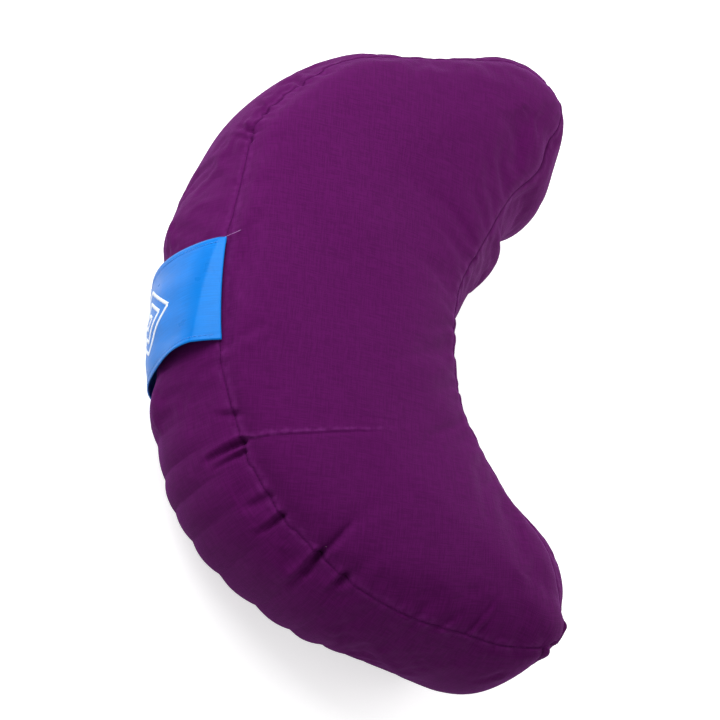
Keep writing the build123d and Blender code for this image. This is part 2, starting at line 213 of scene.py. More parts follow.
def to_outline(points):
    """Depth inside the outline, and the nearest place round it, for points in plan."""
    found = np.array([ring_tree.find((x, y, 0))[1] for x, y in points[:, :2].tolist()])
    offset = points[:, :2] - ring_points[found]
    depth = -np.einsum("ij,ij->i", offset, ring_normals[found])
    return depth, ring_s[found]


def round_at(x, y):
    return to_outline(np.array([[x, y]]))[1][0]


def from_back(s):
    """Distance s from the middle of the back, below 0 on its left side."""
    return np.mod(s + LENGTH / 2, LENGTH) - LENGTH / 2


shoulder_s = BACK_RADIUS * radians(BACK_HALF_ANGLE)
side_s = shoulder_s + SHOULDER_RADIUS * radians(90 + SIDE_NORMAL - BACK_HALF_ANGLE)
side_length = float(np.hypot(*(tip_step + (TIP_RADIUS - SHOULDER_RADIUS) * np.array(
    [cos(radians(SIDE_NORMAL)), sin(radians(SIDE_NORMAL))]))))
tip_s = side_s + side_length
HORN_S = tip_s + TIP_RADIUS * radians(HORN_SEAM_ANGLE - SIDE_NORMAL)
BAY_S = LENGTH / 2
WINDOW_S = HOLLOW_RADIUS * radians(WINDOW_HALF_ANGLE)
WINDOW_TURN = radians(ZIP_LINE_ANGLE) + WINDOW_ABOVE / BULGE_RADIUS
STRAP_LEFT = (BACK_RADIUS + STRAP_BULGE) * asin(strap_low.x / (BACK_RADIUS + STRAP_BULGE))
STRAP_RIGHT = (BACK_RADIUS + STRAP_BULGE) * asin(strap_high.x / (BACK_RADIUS + STRAP_BULGE))


# ------------------------------------------------------------------ rest surfaces


def smooth(value, low, high):
    t = np.clip((value - low) / (high - low), 0, 1)
    return t * t * (3 - 2 * t)


def horn_share(x):
    return smooth(np.abs(x), HORN_START, HORN_END)


def wall_points(s, turn, out=0.0):
    """Points of the bulging wall, at an angle up its arc."""
    base, normals = place(s)
    reach = BULGE_CENTRE + (BULGE_RADIUS + out) * np.cos(turn)
    heights = MIDDLE + (BULGE_RADIUS + out) * np.sin(turn)
    points = np.c_[base + reach[:, None] * normals, heights]
    share = smooth(turn, -SEAM_TURN, SEAM_TURN)
    points[:, 2] += HORN_LIFT * horn_share(points[:, 0]) * share
    return points


def top_points(plan, depth):
    rise = PANEL_RISE * (1 - np.exp(-depth / PANEL_ROLL))
    crown = CROWN * (1 - np.exp(-((depth / CROWN_REACH) ** 2)))
    lift = HORN_LIFT * horn_share(plan[:, 0])
    return np.c_[plan, TOP_SEAM + rise + crown + lift]


def bottom_points(plan, depth):
    drop = FOOT_RISE * (1 - np.exp(-depth / FOOT_ROLL))
    return np.c_[plan, np.maximum(SEAM_RISE - drop, 0.0)]


def on_wall(x, y, level):
    """Point of the wall beside a plan point, at a level from 0, the bottom seam, to 1, the top."""
    turn = np.array([(2 * level - 1) * SEAM_TURN])
    return wall_points(np.array([round_at(x, y)]), turn)[0]


def on_top(x, y):
    plan = np.array([[x, y]])
    depth, _ = to_outline(plan)
    return top_points(plan, np.maximum(depth, 0))[0]


# ------------------------------------------------------------------ one closed mesh of the cover


def stations(marks, pitch, hems=()):
    """Places from mark to mark at a pitch, closer together beside the marks that are seams."""
    found = []
    for start, stop in zip(marks, marks[1:]):
        head = [start] + [start + c for c in CLOSE if start in hems]
        tail = [stop - c for c in reversed(CLOSE) if stop in hems]
        last = tail[0] if tail else stop
        count = max(1, round((last - head[-1]) / pitch))
        found += head + np.linspace(head[-1], last, count + 1)[1:-1].tolist() + tail
    return np.array(found)


def beside_pleats(columns):
    """The columns, with closer ones in place of those beside each pleat."""
    for x, y in PLEAT_SPOTS:
        spot = round_at(x, y)
        spot += LENGTH * (spot < columns[0])
        gap = min(abs(spot - horn) for horn in (HORN_S, LENGTH - HORN_S))
        reach = min(PLEAT_REACH, gap - HORN_CLEARANCE)
        if reach < LEAST_PLEAT_REACH:
            continue
        close = np.arange(spot - reach, spot + reach, PLEAT_PITCH)
        far = np.abs(columns - spot) > reach + 0.5 * PLEAT_PITCH
        columns = np.sort(np.r_[columns[far], close])
    return columns


def lattice(pitch, margin, guides):
    """Plan points in a hexagonal lattice inside the outline, keeping off the guide lines."""
    low, high = OUTLINE[:, :2].min(0), OUTLINE[:, :2].max(0)
    row_pitch = pitch * sin(radians(60))
    rows = []
    for index, y in enumerate(np.arange(low[1], high[1], row_pitch)):
        xs = np.arange(low[0] + (index % 2) * pitch / 2, high[0], pitch)
        rows.append(np.c_[xs, np.full(len(xs), y)])
    points = np.vstack(rows)
    depth, _ = to_outline(points)
    points = points[depth > margin]
    if len(guides):
        near = plan_tree(guides)
        gap = np.array([near.find((x, y, 0))[2] for x, y in points.tolist()])
        points = np.vstack([points[gap > LEAST_SPACING * pitch], guides])
    return points


def panel_triangles(plan, count):
    """Triangles between points in plan, whose first count points are the border in order."""
    border = [list(range(count))]
    cut = geometry.delaunay_2d_cdt([Vector(p) for p in plan.tolist()], [], border, 1, 1e-7)
    if len(cut[0]) != len(plan):
        raise RuntimeError("the panel's triangulation added points")
    triangles = np.array(cut[2])
    first, second, third = (plan[triangles[:, k]] for k in range(3))
    area = np.cross(second - first, third - first)
    triangles[area < 0] = triangles[area < 0][:, ::-1]
    return triangles


def closed_cover(pitch, tight, guides=()):
    """Vertices and faces of the whole cover. The wall is a grid, and the panels share its edges."""
    marks = [HORN_S, BAY_S - WINDOW_S, BAY_S + WINDOW_S, LENGTH - HORN_S, LENGTH + HORN_S]
    seams = (HORN_S, LENGTH - HORN_S, LENGTH + HORN_S) if tight else ()
    columns = stations(marks, pitch, seams)
    if tight:
        columns = beside_pleats(columns)
    arc_marks = [x * BULGE_RADIUS for x in (-SEAM_TURN, WINDOW_TURN, SEAM_TURN)]
    arcs = stations(arc_marks, pitch, (arc_marks[0], arc_marks[2]) if tight else ())
    arcs = np.r_[arcs, arc_marks[2]] / BULGE_RADIUS
    rows, count = len(arcs), len(columns)
    grid_s, grid_turn = np.meshgrid(columns, arcs)
    wall = wall_points(grid_s.ravel(), grid_turn.ravel())
    border, normals = place(columns)
    rings = [border - c * normals for c in CLOSE] if tight else []
    margin = (CLOSE[-1] if tight else 0) + LEAST_SPACING * pitch
    inner = np.vstack(rings + [lattice(pitch, margin, guides)])
    plan = np.vstack([border, inner])
    triangles = panel_triangles(plan, count)
    depth, near_s = to_outline(plan)
    depth[:count] = 0
    near_s[:count] = np.mod(columns, LENGTH)
    depth = np.maximum(depth, 0)
    top = top_points(plan, depth)
    bottom = bottom_points(plan, depth)
    wall_count = rows * count
    inner_count = len(plan) - count
    top_index = np.r_[np.arange(count) + (rows - 1) * count, wall_count + np.arange(inner_count)]
    bottom_index = np.r_[np.arange(count), wall_count + inner_count + np.arange(inner_count)]
    low = (np.arange(rows - 1)[:, None] * count + np.arange(count)).ravel()
    step = (np.arange(rows - 1)[:, None] * count + (np.arange(count) + 1) % count).ravel()
    quads = np.stack([low, step, step + count, low + count], -1)
    points = np.vstack([wall, top[count:], bottom[count:]])
    arc_length = (grid_turn.ravel() + SEAM_TURN) * BULGE_RADIUS
    seam_gap = np.minimum(arc_length, 2 * SEAM_TURN * BULGE_RADIUS - arc_length)
    turn = np.r_[grid_turn.ravel(), np.full(inner_count, ON_TOP), np.full(inner_count, ON_BOTTOM)]
    return {
        "points": points,
        "wall": quads,
        "top": top_index[triangles],
        "bottom": bottom_index[triangles][:, ::-1],
        "rows": rows,
        "count": count,
        "columns": columns,
        "turns": arcs,
        "s": np.mod(np.r_[grid_s.ravel(), near_s[count:], near_s[count:]], LENGTH),
        "turn": turn,
        "on_side": (turn > ON_BOTTOM) & (turn < ON_TOP),
        "level": np.clip((turn + SEAM_TURN) / (2 * SEAM_TURN), 0, 1),
        "seam_gap": np.r_[seam_gap, depth[count:], depth[count:]],
        "weave": np.vstack(
            [
                np.c_[grid_s.ravel(), arc_length, np.zeros(wall_count)],
                np.c_[plan[count:], np.ones(inner_count)],
                np.c_[plan[count:], 2 * np.ones(inner_count)],
            ]
        ),
        "top_index": top_index,
        "bottom_index": bottom_index,
        "plan": plan,
    }


def normals_of(points, *face_sets):
    """Smooth vertex normals."""
    total = np.zeros_like(points)
    for faces in face_sets:
        corners = points[faces]
        if faces.shape[1] == 4:
            face = np.cross(corners[:, 2] - corners[:, 0], corners[:, 3] - corners[:, 1])
        else:
            face = np.cross(corners[:, 1] - corners[:, 0], corners[:, 2] - corners[:, 0])
        for column in range(faces.shape[1]):
            np.add.at(total, faces[:, column], face)
    return total / np.maximum(np.linalg.norm(total, axis=1, keepdims=True), 1e-12)


def grid_faces(index):
    """Faces between the neighbours of a grid of vertex numbers."""
    corners = [index[:-1, :-1], index[:-1, 1:], index[1:, 1:], index[1:, :-1]]
    return np.stack(corners, -1).reshape(-1, 4)


def new_mesh(name, points, face_sets):
    """A smooth mesh. Each set of faces is an array, so its faces have as many corners."""
    mesh = bpy.data.meshes.new(name)
    mesh.from_pydata(points.tolist(), [], [face for faces in face_sets for face in faces.tolist()])
    mesh.shade_smooth()
    return mesh


def in_scene(name, data):
    """An object of this name, linked into the scene."""
    made = bpy.data.objects.new(name, data)
    bpy.context.scene.collection.objects.link(made)
    return made


def new_piece(name, mesh, material):
    piece = in_scene(name, mesh)
    mesh.materials.append(material)
    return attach(piece, "cushion")


def declare_padded(piece, node):
    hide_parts(node)


# ------------------------------------------------------------------ simulation


def simulate(cover):
    """How far each vertex of the coarse cover moves when the filled cloth is blown tight."""
    rest = cover["points"]
    mesh = new_mesh("swell", rest, [cover["wall"], cover["top"], cover["bottom"]])
    piece = in_scene("swell", mesh)
    group = piece.vertex_groups.new(name="seam")
    pull = np.exp(-((cover["seam_gap"] / SEAM_PULL_REACH) ** 2))
    for index, weight in enumerate(pull.tolist()):
        if weight > LEAST_PULL:
            group.add([index], weight, "REPLACE")
    cloth = piece.modifiers.new("cloth", "CLOTH")
    settings = cloth.settings
    settings.quality = 4
    settings.mass = 0.25
    settings.tension_stiffness = 12
    settings.compression_stiffness = 12
    settings.bending_stiffness = 0.3
    settings.use_pressure = True
    settings.uniform_pressure_force = PRESSURE
    settings.effector_weights.gravity = 0
    settings.vertex_group_shrink = "seam"
    settings.shrink_min = -0.035
    settings.shrink_max = 0.02
    cloth.point_cache.frame_start = 1
    cloth.point_cache.frame_end = LAST_FRAME
    scene = bpy.context.scene
    for number in range(1, LAST_FRAME + 1):
        scene.frame_set(number)
    evaluated = piece.evaluated_get(bpy.context.evaluated_depsgraph_get())
    moved = np.zeros(len(rest) * 3, np.float32)
    evaluated.data.vertices.foreach_get("co", moved)
    bpy.data.objects.remove(piece)
    bpy.data.meshes.remove(mesh)
    scene.frame_set(1)
    shift = moved.reshape(-1, 3).astype(float) - rest
    size = np.linalg.norm(shift, axis=1, keepdims=True)
    return shift * MOST_SWELL * np.tanh(size / MOST_SWELL) / np.maximum(size, 1e-9)


def between(p, t):
    """Catmull-Rom value at a share t of the way from p[1] to p[2], of four in a row."""
    return 0.5 * (
        2 * p[1] + (p[2] - p[0]) * t + (2 * p[0] - 5 * p[1] + 4 * p[2] - p[3]) * t**2
        + (3 * p[1] - p[0] - 3 * p[2] + p[3]) * t**3
    )


def round_row(values, position):
    """Values at places along a row that wraps round."""
    base = np.floor(position).astype(int)
    four = [values[np.mod(base + k, len(values))] for k in (-1, 0, 1, 2)]
    return between(four, (position - base)[:, None])


def wall_shift(coarse, shift, fine):
    """The coarse wall's shift, on the fine one's grid."""
    rows, count = coarse["rows"], coarse["count"]
    grid = shift[: rows * count].reshape(rows, count, 3)
    start = coarse["columns"][0]
    unrolled = np.r_[coarse["columns"], start + LENGTH]
    columns = np.interp(
        np.mod(fine["columns"] - start, LENGTH) + start, unrolled, np.arange(count + 1)
    )
    along = np.stack([round_row(row, columns) for row in grid])
    levels = np.interp(fine["turns"], coarse["turns"], np.arange(rows))
    padded = np.concatenate([2 * along[:1] - along[1:2], along, 2 * along[-1:] - along[-2:-1]])
    base = np.clip(np.floor(levels).astype(int), 0, rows - 2)
    return between([padded[base + k] for k in range(4)], (levels - base)[:, None, None])


def carry_over(coarse, shift, fine):
    """The coarse cover's shift, on the fine one."""
    wall = wall_shift(coarse, shift, fine)
    result = np.zeros_like(fine["points"])
    result[: wall.shape[0] * wall.shape[1]] = wall.reshape(-1, 3)
    for side, row in (("top_index", -1), ("bottom_index", 0)):
        edge_rows = np.vstack([wall[row], wall[row][:1]])
        edge_s = np.r_[fine["columns"], fine["columns"][0] + LENGTH]

        def edge(s):
            s = np.mod(s - edge_s[0], LENGTH) + edge_s[0]
            return np.stack([np.interp(s, edge_s, edge_rows[:, k]) for k in range(3)], -1)

        def faded(cover, index):
            gap = cover["seam_gap"][index]
            return edge(cover["s"][index]) * np.exp(-((gap / EDGE_SWELL_REACH) ** 2))[:, None]

        index = coarse[side]
        left = shift[index] - faded(coarse, index)
        left[: coarse["count"]] = 0
        tree = plan_tree(coarse["plan"])
        target = fine[side]
        plan = fine["plan"]
        inner = np.arange(fine["count"], len(target))
        values = np.zeros((len(inner), 3))
        for row_in, (x, y) in enumerate(plan[inner].tolist()):
            near = tree.find_n((x, y, 0), NEIGHBOURS)
            found = np.array([n[1] for n in near])
            gaps = np.array([n[2] for n in near])
            weights = np.exp(-((gaps / (0.75 * COARSE)) ** 2)) + 1e-9
            values[row_in] = weights @ left[found] / weights.sum()
        gap = fine["seam_gap"][target[inner]]
        values *= (1 - np.exp(-gap / NEAR_SEAM))[:, None]
        result[target[inner]] = values + faded(fine, target[inner])
    return result


def quiet(cover):
    """Share of the swelling that a vertex keeps: none at the zip, less under the strap."""
    s, turn = cover["s"], cover["turn"]
    bay = 1 - smooth(np.abs(s - BAY_S), WINDOW_S + 0.002, WINDOW_S + 0.03)
    foot = 1 - smooth(turn, WINDOW_TURN + 0.03, WINDOW_TURN + 0.40)
    near_seam = np.where(turn == ON_BOTTOM, np.exp(-((cover["seam_gap"] / STILL_EDGE) ** 2)), 1.0)
    around = from_back(s)
    strap = np.minimum(
        smooth(around, STRAP_LEFT - STILL_EDGE, STRAP_LEFT),
        1 - smooth(around, STRAP_RIGHT, STRAP_RIGHT + STILL_EDGE),
    )
    strap = np.where(cover["on_side"], strap, 0.0)
    return (1 - bay * foot * near_seam) * (1 - UNDER_STRAP * strap)


# ------------------------------------------------------------------ folds


def spline(points, step=0.0012):
    """Points close together along a smooth line through a few."""
    points = np.array(points, float)
    ends = np.vstack([2 * points[0] - points[1], points, 2 * points[-1] - points[-2]])
    found = []
    for k in range(1, len(ends) - 2):
        count = max(2, int(np.linalg.norm(ends[k + 1] - ends[k]) / step))
        t = np.linspace(0, 1, count, endpoint=False)[:, None]
        found.append(between(ends[k - 1 : k + 3], t))
    return np.vstack(found + [points[-1:]])


RIDGE_AT = 1.7  # a fold's ridge and the reach of its parts, in widths of its valley
RIDGE_SPREAD = 1.4
LEAN_STEEPNESS = 2.2
LEAN_SPREAD = 2.4
PAST_END = 1.2
FADING = 0.25  # share of a line over which a weak end fades out


def fold(points, normals, line, depth, width, lift=0.0, lean=0.0, head=1.0, tail=0.0):
    """Shift along the normals for one fold: a valley along a line, with a ridge beside it.

    lean raises the cloth on one side of the line and lowers it on the other. head and tail are
    the fold's strength at the line's first and last point.
    """
    line = spline(line)
    reach = 4 * width
    box = np.all((points > line.min(0) - reach) & (points < line.max(0) + reach), axis=1)
    index = np.flatnonzero(box)
    shift = np.zeros(len(points))
    if not len(index):
        return shift
    near = tree_of(line)
    found = np.array([near.find(p)[1] for p in points[index].tolist()])
    tangents = np.gradient(line, axis=0)
    tangents /= np.linalg.norm(tangents, axis=1, keepdims=True)
    offset = points[index] - line[found]
    way = tangents[found]
    side = np.cross(way, normals[index])
    side /= np.maximum(np.linalg.norm(side, axis=1, keepdims=True), 1e-9)
    across = np.einsum("ij,ij->i", offset, side)
    past = np.einsum("ij,ij->i", offset, way)
    share = found / (len(line) - 1)
    strength = (head + (tail - head) * share) * smooth(1 - share, 0, FADING if tail < 0.5 else 0.01)
    if head < 0.05:
        strength = strength * smooth(share, 0, FADING)
    strength = strength * np.exp(-((past / (PAST_END * width)) ** 2))
    u = across / width
    profile = -depth * np.exp(-(u**2)) + lift * np.exp(-((u - RIDGE_AT) ** 2) / RIDGE_SPREAD)
    profile += lean * np.tanh(LEAN_STEEPNESS * u) * np.exp(-((u / LEAN_SPREAD) ** 2))
    shift[index] = profile * strength
    return shift


def waves(s, lengths, amplitudes, seed):
    """Uneven waves round the outline, which meet themselves where it closes."""
    rng = np.random.default_rng(seed)
    total = np.zeros(len(s))
    for length, amplitude in zip(lengths, amplitudes):
        for spread in (0.78, 1.0, 1.31):
            turns = max(1, round(LENGTH / (length * spread)))
            total += amplitude * np.sin(2 * pi * turns * s / LENGTH + rng.uniform(0, 2 * pi))
    return total


TOP_CREASE = ((0.1090, -0.0932), (0.1040, -0.0585), (0.0987, -0.0340), (0.0925, -0.0040))
CREST_STEP = 0.0014  # from the crease to the crest beside it, which gets a painted highlight
SEAM_WEAR = 0.35
SEAM_WEAR_GAP = 0.0022
SEAM_WEAR_WIDTH = 0.0016
TOP_CREASE_HIGH = ((0.0880, -0.0260), (0.0855, -0.0120), (0.0840, 0.0030))
TOP_PLEAT = ((0.1685, -0.0405), (0.1595, -0.0330), (0.1460, -0.0228))
GUIDED = (TOP_CREASE, TOP_CREASE_HIGH, TOP_PLEAT)


GUIDE_PITCH = 0.0013
GUIDE_ROWS = (-0.0017, -0.0009, -0.0003, 0.0003, 0.0009, 0.0016)
GUIDE_MARGIN = 0.0035  # clear of the seam and the rows of the mesh beside it
GUIDE_SPACING = 0.0004


def guide_points():
    """Mesh points beside each sharp crease of the top panel."""
    found = []
    for line in GUIDED:
        flat = spline(line, GUIDE_PITCH)
        way = np.gradient(flat, axis=0)
        way /= np.linalg.norm(way, axis=1, keepdims=True)
        side = np.stack([-way[:, 1], way[:, 0]], -1)
        found += [flat + gap * side for gap in GUIDE_ROWS]
    points = np.vstack(found)
    depth, _ = to_outline(points)
    points = points[depth > GUIDE_MARGIN]
    kept = []
    taken = plan_tree(points)
    for index, point in enumerate(points.tolist()):
        near = taken.find_range((*point, 0), GUIDE_SPACING)
        if min(n[1] for n in near) == index:
            kept.append(index)
    return points[kept]


SWAY_REACH = 0.035  # how far a sway carries into the panels


def sway(cover):
    """How far the cover stands out from its outline, in plan."""
    level = cover["level"]

    def curve(top, middle, bottom):
        linear = 4 * middle - top - 3 * bottom
        return bottom + linear * level + 2 * (top + bottom - 2 * middle) * level**2

    total = curve(*SETTLED)
    for spot, reach, heights in SWAYS:
        away = from_back(cover["s"] - round_at(*spot))
        total += curve(*heights) * np.exp(-((away / reach) ** 2))
    on_panel = np.exp(-((cover["seam_gap"] / SWAY_REACH) ** 2))
    return total * np.where(cover["on_side"], 1.0, on_panel)


LUMPS = ((0.115, 0.068), (0.0006, 0.0004))  # the lengths and heights of the filling's soft lumps
SMALL_LUMPS = ((0.045,), (0.0004,))
PUCKERS = ((0.0105, 0.017), (0.00022, 0.00026))
PUCKER_SWING = ((0.31,), (1.0,))  # the puckers grow and fade over this length
PUCKER_ON_WALL = 0.010
PUCKER_ON_PANEL = 0.007
RIDGES = 0.0020
RIDGE_PITCH = 0.021
SLIDE_OUT, SLIDE_DOWN = 0.72, 0.69  # the way that the top seam moves at a tuck
TUCK_RETURN = 0.002
TUCK_REACH = 0.010


def soft_lumps(cover):
    """The filling's lumps, on the wall and on the top panel."""
    s, level = cover["s"], cover["level"]
    lumps = waves(s, *LUMPS, RNG_SEED)
    lumps += 0.5 * waves(s + 0.4 * (level - 0.5) * 0.1, *SMALL_LUMPS, RNG_SEED + 1)
    x, y = cover["points"][:, 0], cover["points"][:, 1]
    mounds = 0.0006 * np.sin(x / 0.021 + 1.0) * np.sin(y / 0.017 + 0.4)
    mounds += 0.0005 * np.sin((x + y) / 0.030) * np.sin((x - y) / 0.024)
    mounds = np.where(cover["turn"] == ON_TOP, mounds * (1 - np.exp(-cover["seam_gap"] / 0.02)), 0)
    return np.where(cover["on_side"], lumps * np.sin(pi * level), mounds)


def puckers(cover):
    """Puckers along both seams, uneven in strength."""
    s, gap = cover["s"], cover["seam_gap"]
    strength = 0.55 + 0.45 * np.sin(waves(s, *PUCKER_SWING, RNG_SEED + 2))
    pucker = waves(s, *PUCKERS, RNG_SEED + 3) * strength
    reach = np.where(cover["on_side"], PUCKER_ON_WALL, PUCKER_ON_PANEL)
    return pucker * np.exp(-((gap / reach) ** 2)) * np.minimum(gap / 0.0015, 1.0)


def upright_ridges(cover):
    """Ridges up the wall under the right shoulder."""
    s, level = cover["s"], cover["level"]
    start, end = round_at(0.055, -0.103), round_at(0.190, 0.020)
    window = smooth(s, start, start + 0.03) * (1 - smooth(s, end - 0.04, end))
    ridges = np.abs(np.sin(pi * s / RIDGE_PITCH + 0.6 * np.sin(s / 0.019))) ** 0.8
    band = smooth(level, 0.02, 0.3) * (1 - smooth(level, 0.55, 0.95))
    return np.where(cover["on_side"], RIDGES * (ridges - 0.6) * window * band, 0)


def seam_wander(cover):
    """Shift of the top seam, which wanders out and steps back at each small tuck."""
    around = from_back(cover["s"])
    wander = np.zeros(len(around))
    for start, tuck, amount in TUCKS:
        ramp = np.clip((around - start) / (tuck - start), 0, 1) ** 1.3
        back = np.clip(1 - (around - tuck) / TUCK_RETURN, 0, 1)
        wander += amount * ramp * (around <= tuck) + amount * back * (around > tuck)
    wander *= np.exp(-((cover["seam_gap"] / TUCK_REACH) ** 2)) * (cover["turn"] > 0)
    slide = np.c_[SLIDE_OUT * place(cover["s"])[1], np.full(len(around), -SLIDE_DOWN)]
    return wander[:, None] * slide


def seam_groove(cover):
    """Depth of the groove that the seams lie in. It leaves out the wall's foot at the zip."""
    s, turn = cover["s"], cover["turn"]
    dip = SEAM_DIP * np.exp(-((cover["seam_gap"] / SEAM_DIP_WIDTH) ** 2))
    for horn in (HORN_S, LENGTH - HORN_S):
        horn_dip = SEAM_DIP * np.exp(-((np.abs(s - horn) / SEAM_DIP_WIDTH) ** 2))
        dip = np.maximum(dip, np.where(cover["on_side"], horn_dip, 0))
    bay = 1 - smooth(np.abs(s - BAY_S), WINDOW_S, WINDOW_S + 0.01)
    return dip * (1 - bay * ((turn < 0) & cover["on_side"]))


def folded(cover, points):
    """The cover with its folds, pleats, puckers and seam grooves."""
    normals = normals_of(points, cover["wall"], cover["top"], cover["bottom"])
    shift = soft_lumps(cover)
    shift += puckers(cover)
    shift += upright_ridges(cover)
    for surface, line, shape in FOLDS:
        shift += fold(cover["points"], normals, [surface(*point) for point in line], **shape)
    still = quiet(cover)
    points = points + (shift * still)[:, None] * normals
    points[:, :2] += (sway(cover) * still)[:, None] * place(cover["s"])[1]
    points = points + seam_wander(cover)
    points = points - seam_groove(cover)[:, None] * normals
    points[:, 2] = np.maximum(points[:, 2], 0.0)
    return points


# Each fold: the surface it lies on, the points of its line there, and its shape. A point is x and y,
# and on the wall also its level. Most lines start at or near a seam.
FOLDS = [
    # the long crease across the top panel
    (on_top, TOP_CREASE,
     dict(depth=0.0003, width=0.0007, lean=-0.0007, head=1.0, tail=0.45)),
    (on_top, TOP_CREASE_HIGH,
     dict(depth=0.0002, width=0.0008, lean=-0.0005, head=0.3, tail=0.4)),
    # the tuck beside the strap, soft on both sides of the seam
    (on_wall, ((0.0650, -0.1060, 1.0), (0.0640, -0.1062, 0.90), (0.0630, -0.1064, 0.78)),
     dict(depth=0.0016, width=0.0030, lift=0.0008)),
    (on_top, ((0.0550, -0.1045), (0.0475, -0.0925), (0.0390, -0.0797)),
     dict(depth=0.0012, width=0.0034, lift=0.0006, tail=0.2)),
    # pleats down the back wall from the top seam, right of the strap
    (on_wall, ((0.0955, -0.0985, 1.0), (0.0940, -0.0990, 0.93), (0.0915, -0.1000, 0.84)),
     dict(depth=0.0020, width=0.0022, lift=0.0006)),
    (on_top, ((0.0960, -0.0980), (0.0950, -0.0920), (0.0940, -0.0860)),
     dict(depth=0.0010, width=0.0036, lift=0.0004)),
    (on_wall, ((0.1115, -0.092, 1.0), (0.1120, -0.092, 0.88), (0.1125, -0.0915, 0.72)),
     dict(depth=0.0052, width=0.0020, lift=0.0012, lean=0.0010, tail=0.2)),
    (on_wall, ((0.1170, -0.0895, 0.99), (0.1175, -0.0895, 0.89), (0.1180, -0.0890, 0.75)),
     dict(depth=0.0036, width=0.0016, lift=0.0014)),
    (on_wall, ((0.1410, -0.0725, 1.0), (0.1400, -0.0735, 0.90), (0.1380, -0.0750, 0.78)),
     dict(depth=0.0024, width=0.0026, lift=0.0010)),
    (on_wall, ((0.1505, -0.0640, 1.0), (0.1500, -0.0645, 0.90), (0.1485, -0.0655, 0.77)),
     dict(depth=0.0046, width=0.0018, lift=0.0016, lean=0.0008)),
    (on_wall, ((0.1690, -0.0400, 1.0), (0.1690, -0.0405, 0.85), (0.1680, -0.0420, 0.66)),
     dict(depth=0.0062, width=0.0024, lift=0.0022, lean=0.0012)),
    (on_wall, ((0.1775, -0.0235, 1.0), (0.1770, -0.0250, 0.91), (0.1755, -0.0275, 0.80)),
     dict(depth=0.0038, width=0.0022, lift=0.0018)),
    # the strong pleat runs on softly over the top panel
    (on_top, ((0.1700, -0.0415), *TOP_PLEAT),
     dict(depth=0.0032, width=0.0019, lift=0.0014, lean=0.0006, tail=0.3)),
    (on_top, ((0.1580, -0.0315), (0.1450, -0.0210), (0.1330, -0.0100)),
     dict(depth=0.0016, width=0.0052, lift=0.0008, tail=0.2)),
    (on_top, ((0.1790, -0.0240), (0.1700, -0.0160), (0.1600, -0.0070)),
     dict(depth=0.0020, width=0.0034, lift=0.0008)),
    # short wrinkles of the top panel by the right horn's seam
    (on_top, ((0.1980, 0.0360), (0.1930, 0.0410), (0.1860, 0.0480)),
     dict(depth=0.0018, width=0.0026, lift=0.0012)),
    (on_top, ((0.2010, 0.0540), (0.1910, 0.0590), (0.1770, 0.0665)),
     dict(depth=0.0020, width=0.0017, lift=0.0012)),
    (on_top, ((0.2000, 0.0605), (0.1950, 0.0630), (0.1890, 0.0660)),
     dict(depth=0.0014, width=0.0017, lift=0.0006)),
    (on_top, ((0.1860, -0.0030), (0.1740, 0.0010), (0.1610, 0.0050)),
     dict(depth=0.0016, width=0.0050, lift=0.0006, head=0.0)),
    # tucks left of the strap
    (on_wall, ((-0.0900, -0.1000, 1.0), (-0.0930, -0.0990, 0.88), (-0.0970, -0.0980, 0.74)),
     dict(depth=0.0022, width=0.0022, lift=0.0008)),
    (on_wall, ((-0.0965, -0.0980, 1.0), (-0.0990, -0.0970, 0.90), (-0.1030, -0.0960, 0.78)),
     dict(depth=0.0022, width=0.0022, lift=0.0008)),
    (on_wall, ((-0.1130, -0.0910, 1.0), (-0.1180, -0.0890, 0.87), (-0.1250, -0.0850, 0.72)),
     dict(depth=0.0024, width=0.0024, lift=0.0010)),
    (on_wall, ((-0.1410, -0.0730, 1.0), (-0.1450, -0.0690, 0.86), (-0.1500, -0.0640, 0.72)),
     dict(depth=0.0022, width=0.0024, lift=0.0010)),
    # the pinched corner at the right horn, and the pocket under it
    (on_wall, ((0.1820, 0.1160, 0.97), (0.1825, 0.1157, 0.90), (0.1830, 0.1150, 0.80)),
     dict(depth=0.0050, width=0.0026, lift=0.0022, tail=0.5)),
    (on_wall, ((0.1955, 0.1055, 0.97), (0.1950, 0.1062, 0.90), (0.1935, 0.1078, 0.80)),
     dict(depth=0.0050, width=0.0026, lift=0.0020, tail=0.3)),
    (on_wall, ((0.2060, 0.0700, 0.62), (0.2070, 0.0790, 0.70), (0.2060, 0.0870, 0.80)),
     dict(depth=0.0044, width=0.0034, lift=0.0020, head=0.0, tail=0.3)),
    # soft slanting folds of the hollow wall, under the left horn
    (on_wall, ((-0.1060, 0.0810, 0.95), (-0.1160, 0.0910, 0.70), (-0.1290, 0.1030, 0.45)),
     dict(depth=0.0013, width=0.0060, lift=0.0008, head=0.0)),
    (on_wall, ((-0.0850, 0.0650, 0.92), (-0.0930, 0.0710, 0.66), (-0.1010, 0.0780, 0.40)),
     dict(depth=0.0012, width=0.0050, lift=0.0008, head=0.0)),
    (on_wall, ((-0.0520, 0.0530, 0.95), (-0.0560, 0.0540, 0.78), (-0.0600, 0.0555, 0.58)),
     dict(depth=0.0014, width=0.0040, lift=0.0008)),
    (on_wall, ((-0.1280, 0.1000, 0.95), (-0.1360, 0.1070, 0.76), (-0.1450, 0.1140, 0.52)),
     dict(depth=0.0010, width=0.0050, lift=0.0006, head=0.0)),
]

# Each tuck: where the seam starts to wander, where it steps back, and how far it goes out.
TUCKS = [
    (-0.205, -0.171, 0.0020),
    (-0.170, -0.133, 0.0026),
    (-0.132, -0.112, 0.0026),
    (-0.111, -0.099, 0.0018),
    (0.112, 0.128, 0.0016),
    (0.148, 0.171, 0.0018),
]

